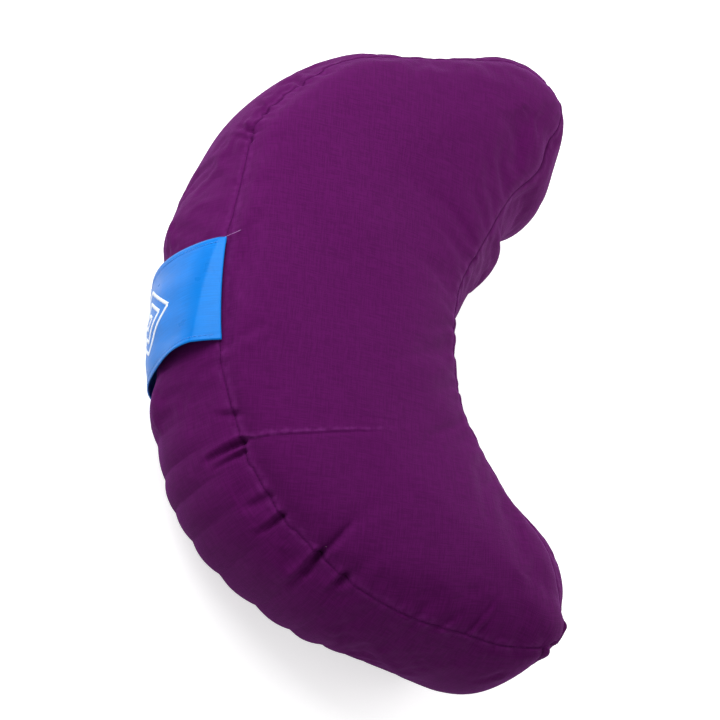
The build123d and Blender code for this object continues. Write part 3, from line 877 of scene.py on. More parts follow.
# Each sway: a place on the outline, how far along it reaches, and how far the cover stands out
# there at the top seam, at half height and at the bottom seam.
SWAYS = [
    ((-0.068, 0.058), 0.036, (0.0068, 0.0088, 0.0058)),
    ((-0.092, 0.073), 0.020, (0.0008, 0.0065, 0.0060)),
    ((-0.156, 0.118), 0.026, (-0.0110, -0.0060, -0.0035)),
    ((-0.205, 0.090), 0.028, (0.0030, 0.0078, 0.0070)),
    ((-0.163, -0.042), 0.028, (0.0022, -0.0024, 0.0)),
    ((-0.100, -0.096), 0.026, (0.0035, 0.0, 0.0)),
    ((0.062, -0.105), 0.016, (0.0025, 0.0, 0.0)),
    ((0.107, -0.092), 0.020, (-0.0015, 0.0, 0.0)),
    ((0.188, 0.010), 0.045, (0.0075, 0.0015, 0.0010)),
    ((0.206, 0.068), 0.030, (-0.0030, -0.0050, -0.0030)),
    ((0.194, 0.108), 0.016, (0.0066, -0.0062, -0.0050)),
    ((0.178, 0.119), 0.010, (-0.0026, -0.0028, -0.0020)),
    ((-0.130, 0.112), 0.013, (0.0, 0.0034, 0.0020)),
    ((0.066, 0.054), 0.030, (-0.0020, -0.0010, 0.0)),
    ((0.128, 0.103), 0.028, (-0.0022, -0.0020, 0.0)),
    ((0.165, 0.123), 0.022, (-0.0045, -0.0040, -0.0030)),
    ((0.120, -0.087), 0.050, (0.0, 0.0040, 0.0045)),
    ((0.068, -0.106), 0.025, (0.0, 0.0035, 0.0030)),
    ((-0.026, -0.111), 0.026, (0.0, 0.0080, 0.0060)),
]
SETTLED = (0.0028, 0.0003, 0.0)  # the seam allowances hold the top seam out all the way round

# ------------------------------------------------------------------ camera
CAMERA_POSITION = Vector((0.4875, -0.3832, 0.9643))
CAMERA_AIM = Vector((0.0139, 0.0039, 0.060))
CAMERA_ROLL = 48.03
CAMERA_LENS = 84.99
SENSOR = 36.0


def make_camera():
    data = bpy.data.cameras.new("camera")
    data.lens = CAMERA_LENS
    data.sensor_width = SENSOR
    data.clip_start = 0.01
    camera = in_scene("camera", data)
    back = (CAMERA_POSITION - CAMERA_AIM).normalized()
    right = Vector((0, 0, 1)).cross(back).normalized()
    up = back.cross(right)
    roll = radians(CAMERA_ROLL)
    across = right * cos(roll) + up * sin(roll)
    high = up * cos(roll) - right * sin(roll)
    turn = Matrix((across, high, back)).transposed()
    camera.matrix_world = Matrix.Translation(CAMERA_POSITION) @ turn.to_4x4()
    bpy.context.scene.camera = camera


make_camera()

# ------------------------------------------------------------------ materials


class Shader:
    """A material's nodes, added in a line each."""

    def __init__(self, name):
        self.material = bpy.data.materials.new(name)
        self.material.use_nodes = True
        self.tree = self.material.node_tree
        self.surface = self.tree.nodes["Principled BSDF"]

    def add(self, kind, *values, **options):
        node = self.tree.nodes.new(kind)
        for key, value in options.items():
            setattr(node, key, value)
        for socket, value in zip(node.inputs, values):
            self.put(socket, value)
        return node.outputs[0]

    def put(self, socket, value):
        if isinstance(value, bpy.types.NodeSocket):
            self.tree.links.new(value, socket)
        elif value is not None:
            socket.default_value = value

    def set(self, **values):
        for key, value in values.items():
            self.put(self.surface.inputs[key.replace("_", " ")], value)

    def math(self, operation, first, second=None):
        return self.add("ShaderNodeMath", first, second, operation=operation)

    def weigh(self, first, first_share, second, second_share):
        """Sum of two values, each times its share."""
        parts = (self.math("MULTIPLY", first, first_share),
                 self.math("MULTIPLY", second, second_share))
        return self.math("ADD", *parts)

    def attribute(self, name, output="Vector"):
        return self.add("ShaderNodeAttribute", attribute_name=name).node.outputs[output]

    def place(self):
        """The place on the object itself."""
        return self.add("ShaderNodeTexCoord").node.outputs["Object"]

    def scaled(self, vector, scale):
        return self.add("ShaderNodeMapping", vector, None, None, scale)

    def streaks(self, vector, scale, detail=2.0):
        """Noise drawn out along the axis whose scale is small."""
        return self.noise(self.scaled(vector, scale), 1.0, detail)

    def noise(self, vector, scale, detail=2.0, roughness=0.5):
        return self.add("ShaderNodeTexNoise", vector, None, scale, detail, roughness)

    def mix(self, factor, first, second):
        node = self.tree.nodes.new("ShaderNodeMix")
        node.data_type = "RGBA"
        for index, value in ((0, factor), (6, first), (7, second)):
            self.put(node.inputs[index], value)
        return node.outputs[2]

    def spread(self, value, low, high, first=0.0, second=1.0):
        """Value from low..high, spread over first..second."""
        return self.add("ShaderNodeMapRange", value, low, high, first, second)

    def uneven(self, noise, first, second):
        """The usual range of a noise, spread over first..second."""
        return self.spread(noise, 0.3, 0.7, first, second)

    def bump(self, height, distance, strength=1.0, normal=None):
        node = self.tree.nodes.new("ShaderNodeBump")
        for name, value in (
            ("Strength", strength), ("Distance", distance), ("Height", height), ("Normal", normal)
        ):
            self.put(node.inputs[name], value)
        return node.outputs[0]


YARN_ALONG, YARN_ACROSS = 110, 2100  # changes of tone in a metre, along a yarn and across it
SLUB_ALONG, SLUB_ACROSS = 30, 900


def woven(name, dark, light, pitch, contrast=1.0, wear_and_highlight_colour=None, relief=0.00012, ribs=(1.0, 1.0)):
    """Cloth of threads both ways, by the weave attribute, with slubs and uneven dye."""
    shader = Shader(name)
    where = shader.attribute("weave")
    parts = shader.add("ShaderNodeSeparateXYZ", where).node.outputs
    waves_across = [
        shader.math("SINE", shader.math("MULTIPLY", parts[k], 2 * pi / pitch)) for k in (0, 1)
    ]
    cells = shader.math("MULTIPLY", *waves_across)
    weft = shader.streaks(where, (YARN_ALONG, YARN_ACROSS, 1))
    warp = shader.streaks(where, (YARN_ACROSS, YARN_ALONG, 1))
    threads = shader.weigh(weft, ribs[0], warp, ribs[1])
    coarse = shader.math("ADD", shader.streaks(where, (SLUB_ALONG, SLUB_ACROSS, 1), 3.0),
                         shader.streaks(where, (SLUB_ACROSS, SLUB_ALONG, 1), 3.0))
    fine = shader.spread(threads, 0.75, 1.25)
    broad = shader.spread(coarse, 0.80, 1.20)
    tone = shader.spread(shader.weigh(fine, 0.7, broad, 0.3), 0.5 - 0.5 / contrast, 0.5 + 0.5 / contrast)
    colour = shader.mix(tone, dark, light)
    dye = shader.noise(where, 14.0, 4.0, 0.6)
    colour = shader.mix(shader.uneven(dye, 0.0, 0.20), colour, dark)
    # the cloth turns paler along this attribute: wear along the seams, and a painted highlight along the
    # crest beside the long crease
    if wear_and_highlight_colour:
        wear_and_highlight = shader.attribute("wear_and_highlight", "Fac")
        rub_and_highlight = shader.math("MULTIPLY", wear_and_highlight, shader.spread(shader.noise(where, 220.0, 3.0), 0.35, 0.65))
        colour = shader.mix(rub_and_highlight, colour, wear_and_highlight_colour)
    height = shader.math("ADD", shader.math("MULTIPLY", cells, 0.35), threads)
    normal = shader.bump(coarse, relief * 1.4, 0.25)
    normal = shader.bump(height, relief, 0.6, normal)
    shader.set(Base_Color=colour, Roughness=shader.uneven(dye, 0.78, 0.92), Normal=normal)
    return shader


# the pale colour serves both as seam wear and as the painted highlight on the long crease's crest
cotton = woven("cover_cotton", srgb(75, 13, 73), srgb(85, 16, 83), pitch=0.00062, contrast=3.6,
               wear_and_highlight_colour=srgb(108, 38, 108))
cotton.set(Sheen_Weight=0.24, Sheen_Roughness=0.28, Sheen_Tint=srgb(186, 70, 204),
           Specular_IOR_Level=0.12, Specular_Tint=srgb(204, 150, 216))
liner = woven("liner_cotton", srgb(205, 196, 178), srgb(234, 227, 212), pitch=0.0009)
liner.set(Sheen_Weight=0.2, Specular_IOR_Level=0.3)
tape = woven("zip_tape", srgb(66, 20, 64), srgb(96, 34, 92), pitch=0.0008, contrast=1.2,
             relief=0.00018, ribs=(1.0, 0.3))
tape.set(Sheen_Weight=0.2, Specular_IOR_Level=0.3)


def satin_shader():
    """Warp-faced satin: long bright floats and faint bars."""
    shader = Shader("strap_satin")
    where = shader.attribute("weave")
    floats = shader.streaks(where, (2600, 60, 1))
    bars = shader.streaks(where, (18, 900, 1))
    broad = shader.noise(where, 60.0, 3.0)
    tone = shader.weigh(floats, 0.6, broad, 0.4)
    colour = shader.mix(shader.spread(tone, 0.35, 0.65), srgb(0, 103, 188), srgb(0, 119, 210))
    normal = shader.bump(bars, 0.00005, 0.6)
    normal = shader.bump(floats, 0.00006, 0.7, normal)
    shader.set(Base_Color=colour, Roughness=shader.uneven(broad, 0.26, 0.36), Normal=normal,
               Anisotropic=0.35, Specular_IOR_Level=0.34, Specular_Tint=srgb(150, 202, 255))
    return shader.material


def thread_shader(name, dark, light, roughness, sheen=0.2, specular=0.4):
    """Twisted yarn: a fine slanting ply along the piece."""
    shader = Shader(name)
    where = shader.place()
    ply = shader.add("ShaderNodeTexWave", where, 1500.0, 1.5, 2.0, bands_direction="DIAGONAL")
    fuzz = shader.noise(where, 2400.0, 2.0)
    tone = shader.math("MULTIPLY", shader.math("ADD", ply, fuzz), 0.5)
    colour = shader.mix(tone, dark, light)
    shader.set(Base_Color=colour, Roughness=shader.uneven(fuzz, roughness, roughness + 0.15),
               Normal=shader.bump(ply, 0.00004, 0.6), Sheen_Weight=sheen, Specular_IOR_Level=specular)
    return shader.material


def husk_shader():
    shader = Shader("husks")
    where = shader.place()
    cells = shader.add("ShaderNodeTexVoronoi", where, None, 210.0).node
    grain = shader.noise(where, 900.0, 3.0)
    pale = shader.mix(cells.outputs["Color"], srgb(86, 58, 38), srgb(142, 104, 72))
    colour = shader.mix(shader.spread(grain, 0.35, 0.65), pale, srgb(60, 40, 28))
    normal = shader.bump(cells.outputs["Distance"], 0.0008, 0.8)
    shader.set(Base_Color=colour, Roughness=shader.uneven(grain, 0.6, 0.8), Normal=normal,
               Specular_IOR_Level=0.3)
    return shader.material


def nylon_shader():
    shader = Shader("zip_nylon")
    where = shader.place()
    cloud = shader.noise(where, 500.0, 2.0)
    colour = shader.mix(cloud, srgb(70, 22, 68), srgb(104, 42, 100))
    shader.set(Base_Color=colour, Roughness=shader.uneven(cloud, 0.3, 0.42),
               Normal=shader.bump(cloud, 0.00003, 0.4), Specular_IOR_Level=0.5)
    return shader.material


def metal_shader():
    """Plated zinc: fine brushing and cloudy roughness."""
    shader = Shader("zip_metal")
    where = shader.place()
    brushing = shader.streaks(where, (300, 2600, 300), 3.0)
    cloud = shader.noise(where, 260.0, 4.0)
    colour = shader.mix(cloud, srgb(186, 188, 194), srgb(222, 224, 228))
    shader.set(Base_Color=colour, Metallic=1.0, Roughness=shader.uneven(cloud, 0.18, 0.38),
               Normal=shader.bump(brushing, 0.00002, 0.5))
    return shader.material


satin = satin_shader()
motif_thread = thread_shader("motif_thread", srgb(214, 224, 238), srgb(246, 249, 255), 0.38)
sewing = thread_shader("sewing_thread", srgb(62, 8, 62), srgb(92, 20, 92), 0.75,
                       sheen=0.0, specular=0.08)
husks = husk_shader()
nylon = nylon_shader()
metal = metal_shader()

# ------------------------------------------------------------------ the cover's four panels

coarse = closed_cover(COARSE, False)
fine = closed_cover(FINE, True, guide_points())
swell = simulate(coarse)
coarse_points = folded(coarse, coarse["points"] + swell * quiet(coarse)[:, None])
swollen = carry_over(coarse, swell, fine)
fine_points = folded(fine, fine["points"] + swollen * quiet(fine)[:, None])
fine_normals = normals_of(fine_points, fine["wall"], fine["top"], fine["bottom"])


def thick_panel(name, faces, points, normals, thickness, material, weave, wear_and_highlight=None):
    """A panel of cloth cut from the closed cover: its outer face, its inner face, and its edge."""
    used = np.unique(faces)
    remap = np.full(len(points), -1)
    remap[used] = np.arange(len(used))
    outer = remap[faces]
    inner = outer[:, ::-1] + len(used)
    pairs = np.vstack([faces[:, [k, (k + 1) % faces.shape[1]]] for k in range(faces.shape[1])])
    keys = pairs[:, 0] * len(points) + pairs[:, 1]
    back = pairs[:, 1] * len(points) + pairs[:, 0]
    rim = remap[pairs[~np.isin(keys, back)]]
    rim_faces = np.stack([rim[:, 1], rim[:, 0], rim[:, 0] + len(used), rim[:, 1] + len(used)], -1)
    both = np.vstack([points[used], points[used] - thickness * normals[used]])
    piece = new_piece(name, new_mesh(name, both, [outer, inner, rim_faces]), material)
    store(piece, "weave", np.vstack([weave[used]] * 2))
    if wear_and_highlight is not None:
        store(piece, "wear_and_highlight", np.r_[wear_and_highlight[used], wear_and_highlight[used]])
    return piece


def store(piece, name, values):
    kind, key = ("FLOAT_VECTOR", "vector") if values.ndim == 2 else ("FLOAT", "value")
    layer = piece.data.attributes.new(name, kind, "POINT")
    layer.data.foreach_set(key, values.astype(np.float32).ravel())


def wall_faces(cover):
    """The wall's faces, as the back strip and the hollow strip with its zip window left out."""
    corner = cover["wall"][:, 0]
    column = corner % cover["count"]
    row = corner // cover["count"]
    middle = cover["columns"][column] + 1e-6
    in_hollow = (middle > HORN_S) & (middle < LENGTH - HORN_S)
    in_window = (
        (np.abs(middle - BAY_S) < WINDOW_S) & (cover["turns"][row] + 1e-6 < WINDOW_TURN)
    )
    return cover["wall"][~in_hollow], cover["wall"][in_hollow & ~in_window]


back_faces, hollow_faces = wall_faces(fine)

# the cloth is rubbed pale along the seams, and a painted highlight runs along the crest beside the long
# crease
wear_and_highlight = SEAM_WEAR * np.exp(-((fine["seam_gap"] - SEAM_WEAR_GAP) / SEAM_WEAR_WIDTH) ** 2)
crest = [on_top(x - CREST_STEP, y) for x, y in TOP_CREASE]
wear_and_highlight += fold(fine["points"], fine_normals, crest, depth=-1.0, width=0.0008, head=0.7, tail=0.6)
for number, (name, faces, node) in enumerate((
    ("cover_top_cloth", fine["top"], "cover_top_panel"),
    ("cover_bottom_cloth", fine["bottom"], "cover_bottom_panel"),
    ("cover_back_cloth", back_faces, "cover_back_wall"),
    ("cover_hollow_cloth", hollow_faces, "cover_hollow_wall"),
)):
    weave = fine["weave"].copy()
    if faces is fine["top"] or faces is fine["bottom"]:
        weave[:, :2] = fine["points"][:, :2]
    else:
        weave[:, 0] = fine["s"]
    weave[:, 2] = number
    piece = thick_panel(
        name, faces, fine_points, fine_normals, COVER_THICKNESS, cotton.material, weave, wear_and_highlight
    )
    declare_padded(piece, node)

# ------------------------------------------------------------------ liner and fill

coarse_normals = normals_of(coarse_points, coarse["wall"], coarse["top"], coarse["bottom"])
liner_points = coarse_points - LINER_DEPTH * coarse_normals
for name, faces, node in (
    ("liner_top_cloth", coarse["top"], "liner_top"),
    ("liner_bottom_cloth", coarse["bottom"], "liner_bottom"),
    ("liner_side_cloth", coarse["wall"], "liner_side"),
):
    piece = thick_panel(
        name, faces, liner_points, coarse_normals, LINER_THICKNESS, liner.material, coarse["weave"]
    )
    declare_padded(piece, node)


HUSKS_OUT = (0.0001, 0.0009)
HUSKS_IN = (0.0, 0.0005)


def make_fill():
    """The husks' body, whose vertices stand in and out like the husks' ends."""
    faces = [coarse["wall"], coarse["top"], coarse["bottom"]]
    piece = in_scene("husk_fill_body",
                     new_mesh("fill", coarse_points - FILL_DEPTH * coarse_normals, faces))
    divide = piece.modifiers.new("divide", "SUBSURF")
    divide.subdivision_type = "SIMPLE"
    divide.levels = 1
    mesh = bpy.data.meshes.new_from_object(
        piece.evaluated_get(bpy.context.evaluated_depsgraph_get())
    )
    piece.modifiers.remove(divide)
    piece.data = mesh
    rng = np.random.default_rng(RNG_SEED)
    count, old = len(mesh.vertices), len(coarse_points)
    relief = np.r_[rng.uniform(*HUSKS_OUT, old), -rng.uniform(*HUSKS_IN, count - old)]
    points = np.zeros(count * 3, np.float32)
    normals = np.zeros(count * 3, np.float32)
    mesh.vertices.foreach_get("co", points)
    mesh.vertex_normals.foreach_get("vector", normals)
    points += (relief[:, None] * normals.reshape(-1, 3)).ravel().astype(np.float32)
    mesh.vertices.foreach_set("co", points)
    mesh.materials.append(husks)
    declare_padded(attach(piece, "cushion"), "hull_fill")


make_fill()

# ------------------------------------------------------------------ carry strap


STRAP_ASKEW = 0.007  # the loop hangs a little towards +X
FACET_NARROW = 0.003  # the strap leaves the top seam flatter, as far as a slanting crease
FACET_WIDE = 0.016
FACET_SLOPE = 0.26
FACET_FADE = 0.020
STRAP_RIPPLES = ((0.0005, 1.3, 0.8, 0.6), (0.0003, 3.1, -1.7, 2.0))
EDGE_RIPPLE = 0.0010  # more ripple along the strap's right edge
EDGE_RIPPLE_WIDTH = 0.10
HEMLESS = 0.62  # the single cloth's thickness, as a share of the hemmed one's
HEM_EDGE = 0.055  # where each hem's inner edge lies, as a share of the strap's width
HEM_EDGE_WIDTH = 0.008
HEM_EDGE_DEPTH = 0.00025
HEM_WIDTH = 0.0045
TUCKED_IN = 0.012  # share of the strap's length that enters each seam


def strap_surface(across, up, out=0.0):
    """Points of the strap's outer face. across is from 0 to 1 from its left edge, up from 0 to 1."""
    turn = (2 * up - 1) * STRAP_TURN
    loose = np.sin(pi * np.clip(up, 0, 1))
    below_seam = np.maximum(1 - up, 0) * 2 * STRAP_TURN * STRAP_RADIUS
    facet = FACET_NARROW + (FACET_WIDE - FACET_NARROW) * across
    past = np.maximum(below_seam - facet, 0)
    ripple = FACET_SLOPE * np.minimum(below_seam, facet) * np.exp(-((past / FACET_FADE) ** 2))
    for tall, waves_across, waves_up, start in STRAP_RIPPLES:
        ripple += tall * np.sin(2 * pi * (waves_across * across + waves_up * up) + start) * loose
    near_edge = np.exp(-(((across - 1.0) / EDGE_RIPPLE_WIDTH) ** 2))
    ripple += EDGE_RIPPLE * near_edge * loose * np.sin(2 * pi * up * 1.5)
    hem = HEM_EDGE_DEPTH * sum(
        np.exp(-(((across - edge) / HEM_EDGE_WIDTH) ** 2)) for edge in (HEM_EDGE, 1 - HEM_EDGE)
    )
    radius = STRAP_RADIUS + STRAP_THICKNESS + ripple - hem + out
    reach = STRAP_CENTRE + radius * np.cos(turn)
    height = MIDDLE + radius * np.sin(turn)
    total = BACK_RADIUS + reach
    askew = STRAP_ASKEW * np.sin(pi / 2 * (1 - up))
    angle = (STRAP_LEFT + (STRAP_RIGHT - STRAP_LEFT) * across + askew) / total
    return np.stack(
        [total * np.sin(angle), BACK_CENTRE[1] - total * np.cos(angle), height], -1
    )


def make_strap():
    columns, rows = 60, 110
    across = np.linspace(0, 1, columns + 1)
    up = np.linspace(-TUCKED_IN, 1 + TUCKED_IN, rows + 1)
    up, across = (grid.ravel() for grid in np.meshgrid(up, across, indexing="ij"))
    width = STRAP_RIGHT - STRAP_LEFT
    length = 2 * STRAP_TURN * STRAP_RADIUS
    outer = strap_surface(across, up)
    edge = np.minimum(across, 1 - across) * width
    layers = HEMLESS + (1 - HEMLESS) * (edge < HEM_WIDTH)
    thin = STRAP_THICKNESS * layers * np.minimum(1, 0.55 + edge / 0.001)
    inner = strap_surface(across, up, -thin)
    index = np.arange((rows + 1) * (columns + 1)).reshape(rows + 1, columns + 1)
    faces = grid_faces(index)
    total = len(outer)
    around = np.r_[index[0, :-1], index[:-1, -1], index[-1, :0:-1], index[:0:-1, 0]]
    following = np.roll(around, -1)
    rim = np.stack([following, around, around + total, following + total], -1)
    mesh = new_mesh("carry_strap_satin", np.vstack([outer, inner]),
                    [faces, faces[:, ::-1] + total, rim])
    piece = new_piece("carry_strap_satin", mesh, satin)
    weave = np.c_[across * width, up * length, np.zeros(total)]
    store(piece, "weave", np.vstack([weave, weave]))
    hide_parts("carry_strap")
    return width, length


strap_width, strap_length = make_strap()


def tube(path, radius, sides=6):
    """Points and faces of a capped tube along a path."""
    path = np.asarray(path, float)
    ways = np.gradient(path, axis=0)
    ways /= np.linalg.norm(ways, axis=1, keepdims=True)
    helper = np.where(np.abs(ways[:, 2:3]) > 0.8, [[1.0, 0, 0]], [[0, 0, 1.0]])
    first = np.cross(ways, helper)
    first /= np.linalg.norm(first, axis=1, keepdims=True)
    second = np.cross(ways, first)
    radius = np.broadcast_to(np.asarray(radius, float), (len(path),))
    angles = np.linspace(0, 2 * pi, sides, endpoint=False)
    rings = path[:, None] + radius[:, None, None] * (
        np.cos(angles)[None, :, None] * first[:, None] + np.sin(angles)[None, :, None] * second[:, None]
    )
    points = rings.reshape(-1, 3)
    index = np.arange(len(path) * sides).reshape(len(path), sides)
    nxt = np.roll(index, -1, axis=1)
    sleeve = np.stack([index[:-1], nxt[:-1], nxt[1:], index[1:]], -1).reshape(-1, 4)
    return points, [sleeve, index[:1, ::-1], index[-1:]]


def many(name, parts, material, slot_name, *nodes):
    """One piece of many small tubes or blocks."""
    points, face_sets, count = [], [], 0
    for part_points, part_faces in parts:
        points.append(part_points)
        face_sets += [faces + count for faces in part_faces]
        count += len(part_points)
    piece = new_piece(name, new_mesh(name, np.vstack(points), face_sets), material)
    if nodes:
        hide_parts(*nodes)
    return piece


MOTIF_LINE = 0.0020
MOTIF_SIZES = (0.044, 0.028, 0.012)
MOTIF_STRETCH = 1.25
MOTIF_DROP = 0.006
MOTIF_THREAD = 0.00027
STITCH_GAP = 0.00045
STITCH_SLANT = 0.00012
STITCH_RISE = 0.00028
STITCH_SINK = 0.00010
HEM_STITCH_PITCH = 0.0030
HEM_STITCH_INSET = 0.0032
HEM_STITCH_DIP = 0.00030
HEM_STITCH_RISE = 0.00012
HEM_THREAD = 0.00020


def motif():
    """Nested diamonds in satin stitch: short threads laid side by side across each line."""
    parts = []
    rng = np.random.default_rng(RNG_SEED + 5)
    for size in MOTIF_SIZES:
        middle = size / 2 - MOTIF_LINE / 2
        corners = [(middle, 0), (0, middle * MOTIF_STRETCH), (-middle, 0), (0, -middle * MOTIF_STRETCH)]
        for start, stop in zip(corners, corners[1:] + corners[:1]):
            start, stop = np.array(start), np.array(stop)
            length = np.linalg.norm(stop - start)
            way = (stop - start) / length
            side = np.array([-way[1], way[0]])
            for along in np.arange(0, length, STITCH_GAP):
                centre = start + way * along
                half = MOTIF_LINE / 2 + rng.uniform(-STITCH_SLANT, STITCH_SLANT)
                t = np.linspace(-1, 1, 5)
                flat = centre + t[:, None] * (half * side + STITCH_SLANT * way)
                across = 0.5 + flat[:, 0] / strap_width
                up = 0.5 + (flat[:, 1] - MOTIF_DROP) / strap_length
                rise = STITCH_RISE * np.sqrt(np.maximum(0, 1 - t**2)) - STITCH_SINK
                parts.append(tube(strap_surface(across, up, rise), MOTIF_THREAD, 5))
    many("strap_motif_stitches", parts, motif_thread, "motif_thread", "strap_motif")


motif()


def strap_stitches():
    """Two rows of stitches along the strap's hems."""
    parts = []
    rows = int(strap_length / HEM_STITCH_PITCH)
    for edge in (HEM_STITCH_INSET, strap_width - HEM_STITCH_INSET):
        for k in range(1, rows - 1):
            along = (k + np.linspace(0.12, 0.88, 6)) * strap_length / rows
            out = HEM_STITCH_RISE - HEM_STITCH_DIP * np.abs(np.linspace(-1, 1, 6)) ** 3
            points = strap_surface(np.full(6, edge / strap_width), along / strap_length, out)
            parts.append(tube(points, HEM_THREAD, 5))
    blue = thread_shader("strap_thread", srgb(12, 96, 190), srgb(60, 150, 236), 0.4)
    many("strap_hem_stitches", parts, blue, "strap_satin")


strap_stitches()


# ------------------------------------------------------------------ seam stitches

STITCH_PITCH = 0.0028
STITCH_ENDS = (0.08, 0.92)  # where each stitch starts and stops within its pitch
THREAD_RADIUS = 0.00024
THREAD_SUNK = 0.4  # of the radius


def seam_line(row):
    """The finished seam's points, and their outward normals, along one row of the fine wall."""
    index = np.arange(fine["count"]) + row * fine["count"]
    return fine_points[index], fine_normals[index]


def stitches_along(points, normals, closed):
    """Short threads along a line, each dipping into the cloth at its ends."""
    if closed:
        points, normals = np.vstack([points, points[:1]]), np.vstack([normals, normals[:1]])
    gone = np.r_[0, np.cumsum(np.linalg.norm(np.diff(points, axis=0), axis=1))]
    count = int(gone[-1] / STITCH_PITCH)
    parts = []
    for k in range(count):
        t = np.linspace(*STITCH_ENDS, 6)
        at = (k + t) * gone[-1] / count
        line = np.stack([np.interp(at, gone, points[:, c]) for c in range(3)], -1)
        out = np.stack([np.interp(at, gone, normals[:, c]) for c in range(3)], -1)
        arch = THREAD_RADIUS * (1 - np.abs(2 * t - 1) ** 3) - THREAD_RADIUS * THREAD_SUNK
        parts.append(tube(line + arch[:, None] * out, THREAD_RADIUS))
    return parts


for name, row, node in (
    ("seam_stitches_top", fine["rows"] - 1, "seam_thread_top"),
    ("seam_stitches_bottom", 0, "seam_thread_bottom"),
):
    many(name, stitches_along(*seam_line(row), True), sewing, "sewing_thread", node)


def horn_stitches():
    parts = []
    for horn in (HORN_S, LENGTH - HORN_S):
        column = int(np.argmin(np.abs(np.mod(fine["columns"], LENGTH) - horn)))
        index = np.arange(2, fine["rows"] - 2) * fine["count"] + column
        parts += stitches_along(fine_points[index], fine_normals[index], False)
    return parts


many("seam_stitches_horns", horn_stitches(), sewing, "sewing_thread", "seam_thread_horns")


LOOSE_END = ((0, 0, 0), (-0.0008, 0.0024, 0.0030), (-0.0022, 0.0050, 0.0048), (-0.0042, 0.0076, 0.0052))


def loose_end():
    """A loose end of sewing thread at the strap's corner, too short to be a cord of its own."""
    start = strap_surface(np.array([0.0]), np.array([1.0]))[0] + [-0.0002, 0.0006, 0.0]
    line = spline([start + step for step in LOOSE_END], 0.0006)
    pale = thread_shader("loose_thread", srgb(120, 62, 128), srgb(176, 122, 186), 0.5)
    many("loose_thread_end", [tube(line, HEM_THREAD)], pale, "sewing_thread")


loose_end()

# ------------------------------------------------------------------ zip


def zip_point(angle, low, depth):
    """Points by the angle round the hollow, the distance up the wall from the zip, and a depth."""
    turn = radians(ZIP_LINE_ANGLE) + np.asarray(low) / BULGE_RADIUS
    reach = BULGE_CENTRE + (BULGE_RADIUS - depth) * np.cos(turn)
    height = MIDDLE + (BULGE_RADIUS - depth) * np.sin(turn)
    radius = HOLLOW_RADIUS - reach
    angle = np.asarray(angle)
    return np.stack(
        [HOLLOW_CENTRE[0] + radius * np.sin(angle), HOLLOW_CENTRE[1] - radius * np.cos(angle),
         np.broadcast_to(height, radius.shape)], -1
    )


def block(angles, lows, front, back):
    """A closed strip on the zip's surface, between two depths."""
    grid_a, grid_l = np.meshgrid(angles, lows, indexing="ij")
    front = np.broadcast_to(front, grid_a.shape)
    outer = zip_point(grid_a.ravel(), grid_l.ravel(), front.ravel())
    inner = zip_point(grid_a.ravel(), grid_l.ravel(), np.full(grid_a.size, back))
    index = np.arange(grid_a.size).reshape(grid_a.shape)
    faces = grid_faces(index)
    total = grid_a.size
    around = np.r_[index[:-1, 0], index[-1, :-1], index[:0:-1, -1], index[0, :0:-1]]
    following = np.roll(around, -1)
    rim = np.stack([around, following, following + total, around + total], -1)
    return np.vstack([outer, inner]), [faces[:, ::-1], faces + total, rim[:, ::-1]]


RIB_HEIGHT = 0.00006
RIB_PITCH = 0.0011
TAPE_WEAVE_RADIUS = 0.17


def tapes():
    window = radians(WINDOW_HALF_ANGLE)
    angles = np.linspace(-window, window, 320)
    for name, low, high, node in (
        ("zip_tape_upper_cloth", ZIP_GAP / 2, WINDOW_ABOVE, "zip_tape_upper"),
        ("zip_tape_lower_cloth", -TAPE_DROP, -ZIP_GAP / 2, "zip_tape_lower"),
    ):
        lows = np.linspace(low, high, 26)
        ribs = RIB_HEIGHT * np.sin(2 * pi * lows / RIB_PITCH)
        front = TAPE_DEPTH - RIB_HEIGHT + ribs[None, :]
        points, faces = block(angles, lows, front, TAPE_DEPTH + TAPE_THICKNESS)
        piece = many(name, [(points, faces)], tape.material, "zip_tape", node)
        along = angles * TAPE_WEAVE_RADIUS
        grid = np.stack(np.meshgrid(along, lows, [0.0], indexing="ij"), -1).reshape(-1, 3)
        store(piece, "weave", np.vstack([grid, grid]))


tapes()

WIRE = 0.00033
COIL_PITCH = 0.0013
COIL_LEAN = 0.12  # of the pitch
STOP_EDGE = 0.0006  # how thick a stop is at its rim
ZIP_RADIUS = HOLLOW_RADIUS - BULGE_CENTRE - BULGE_RADIUS * cos(radians(ZIP_LINE_ANGLE))


def coils():
    reach = radians(ZIP_HALF_ANGLE)
    turns = int(2 * reach * ZIP_RADIUS / COIL_PITCH)
    t = np.linspace(0, turns * 2 * pi, turns * 14)
    angles = np.linspace(-reach, reach, len(t))
    for name, side, node in (
        ("zip_coil_upper_wire", 1, "zip_coil_upper"),
        ("zip_coil_lower_wire", -1, "zip_coil_lower"),
    ):
        half_width = COIL_WIDTH / 2 - WIRE
        low = side * (ZIP_GAP / 2 + COIL_WIDTH / 2 + half_width * np.cos(t + (side < 0) * pi))
        depth = TAPE_DEPTH - COIL_HEIGHT / 2 + (COIL_HEIGHT / 2 - WIRE) * np.sin(t)
        lean = side * COIL_LEAN * COIL_PITCH / ZIP_RADIUS * np.cos(t)
        path = zip_point(angles + lean, low, depth)
        many(name, [tube(path, WIRE)], nylon, "zip_nylon", node)


coils()


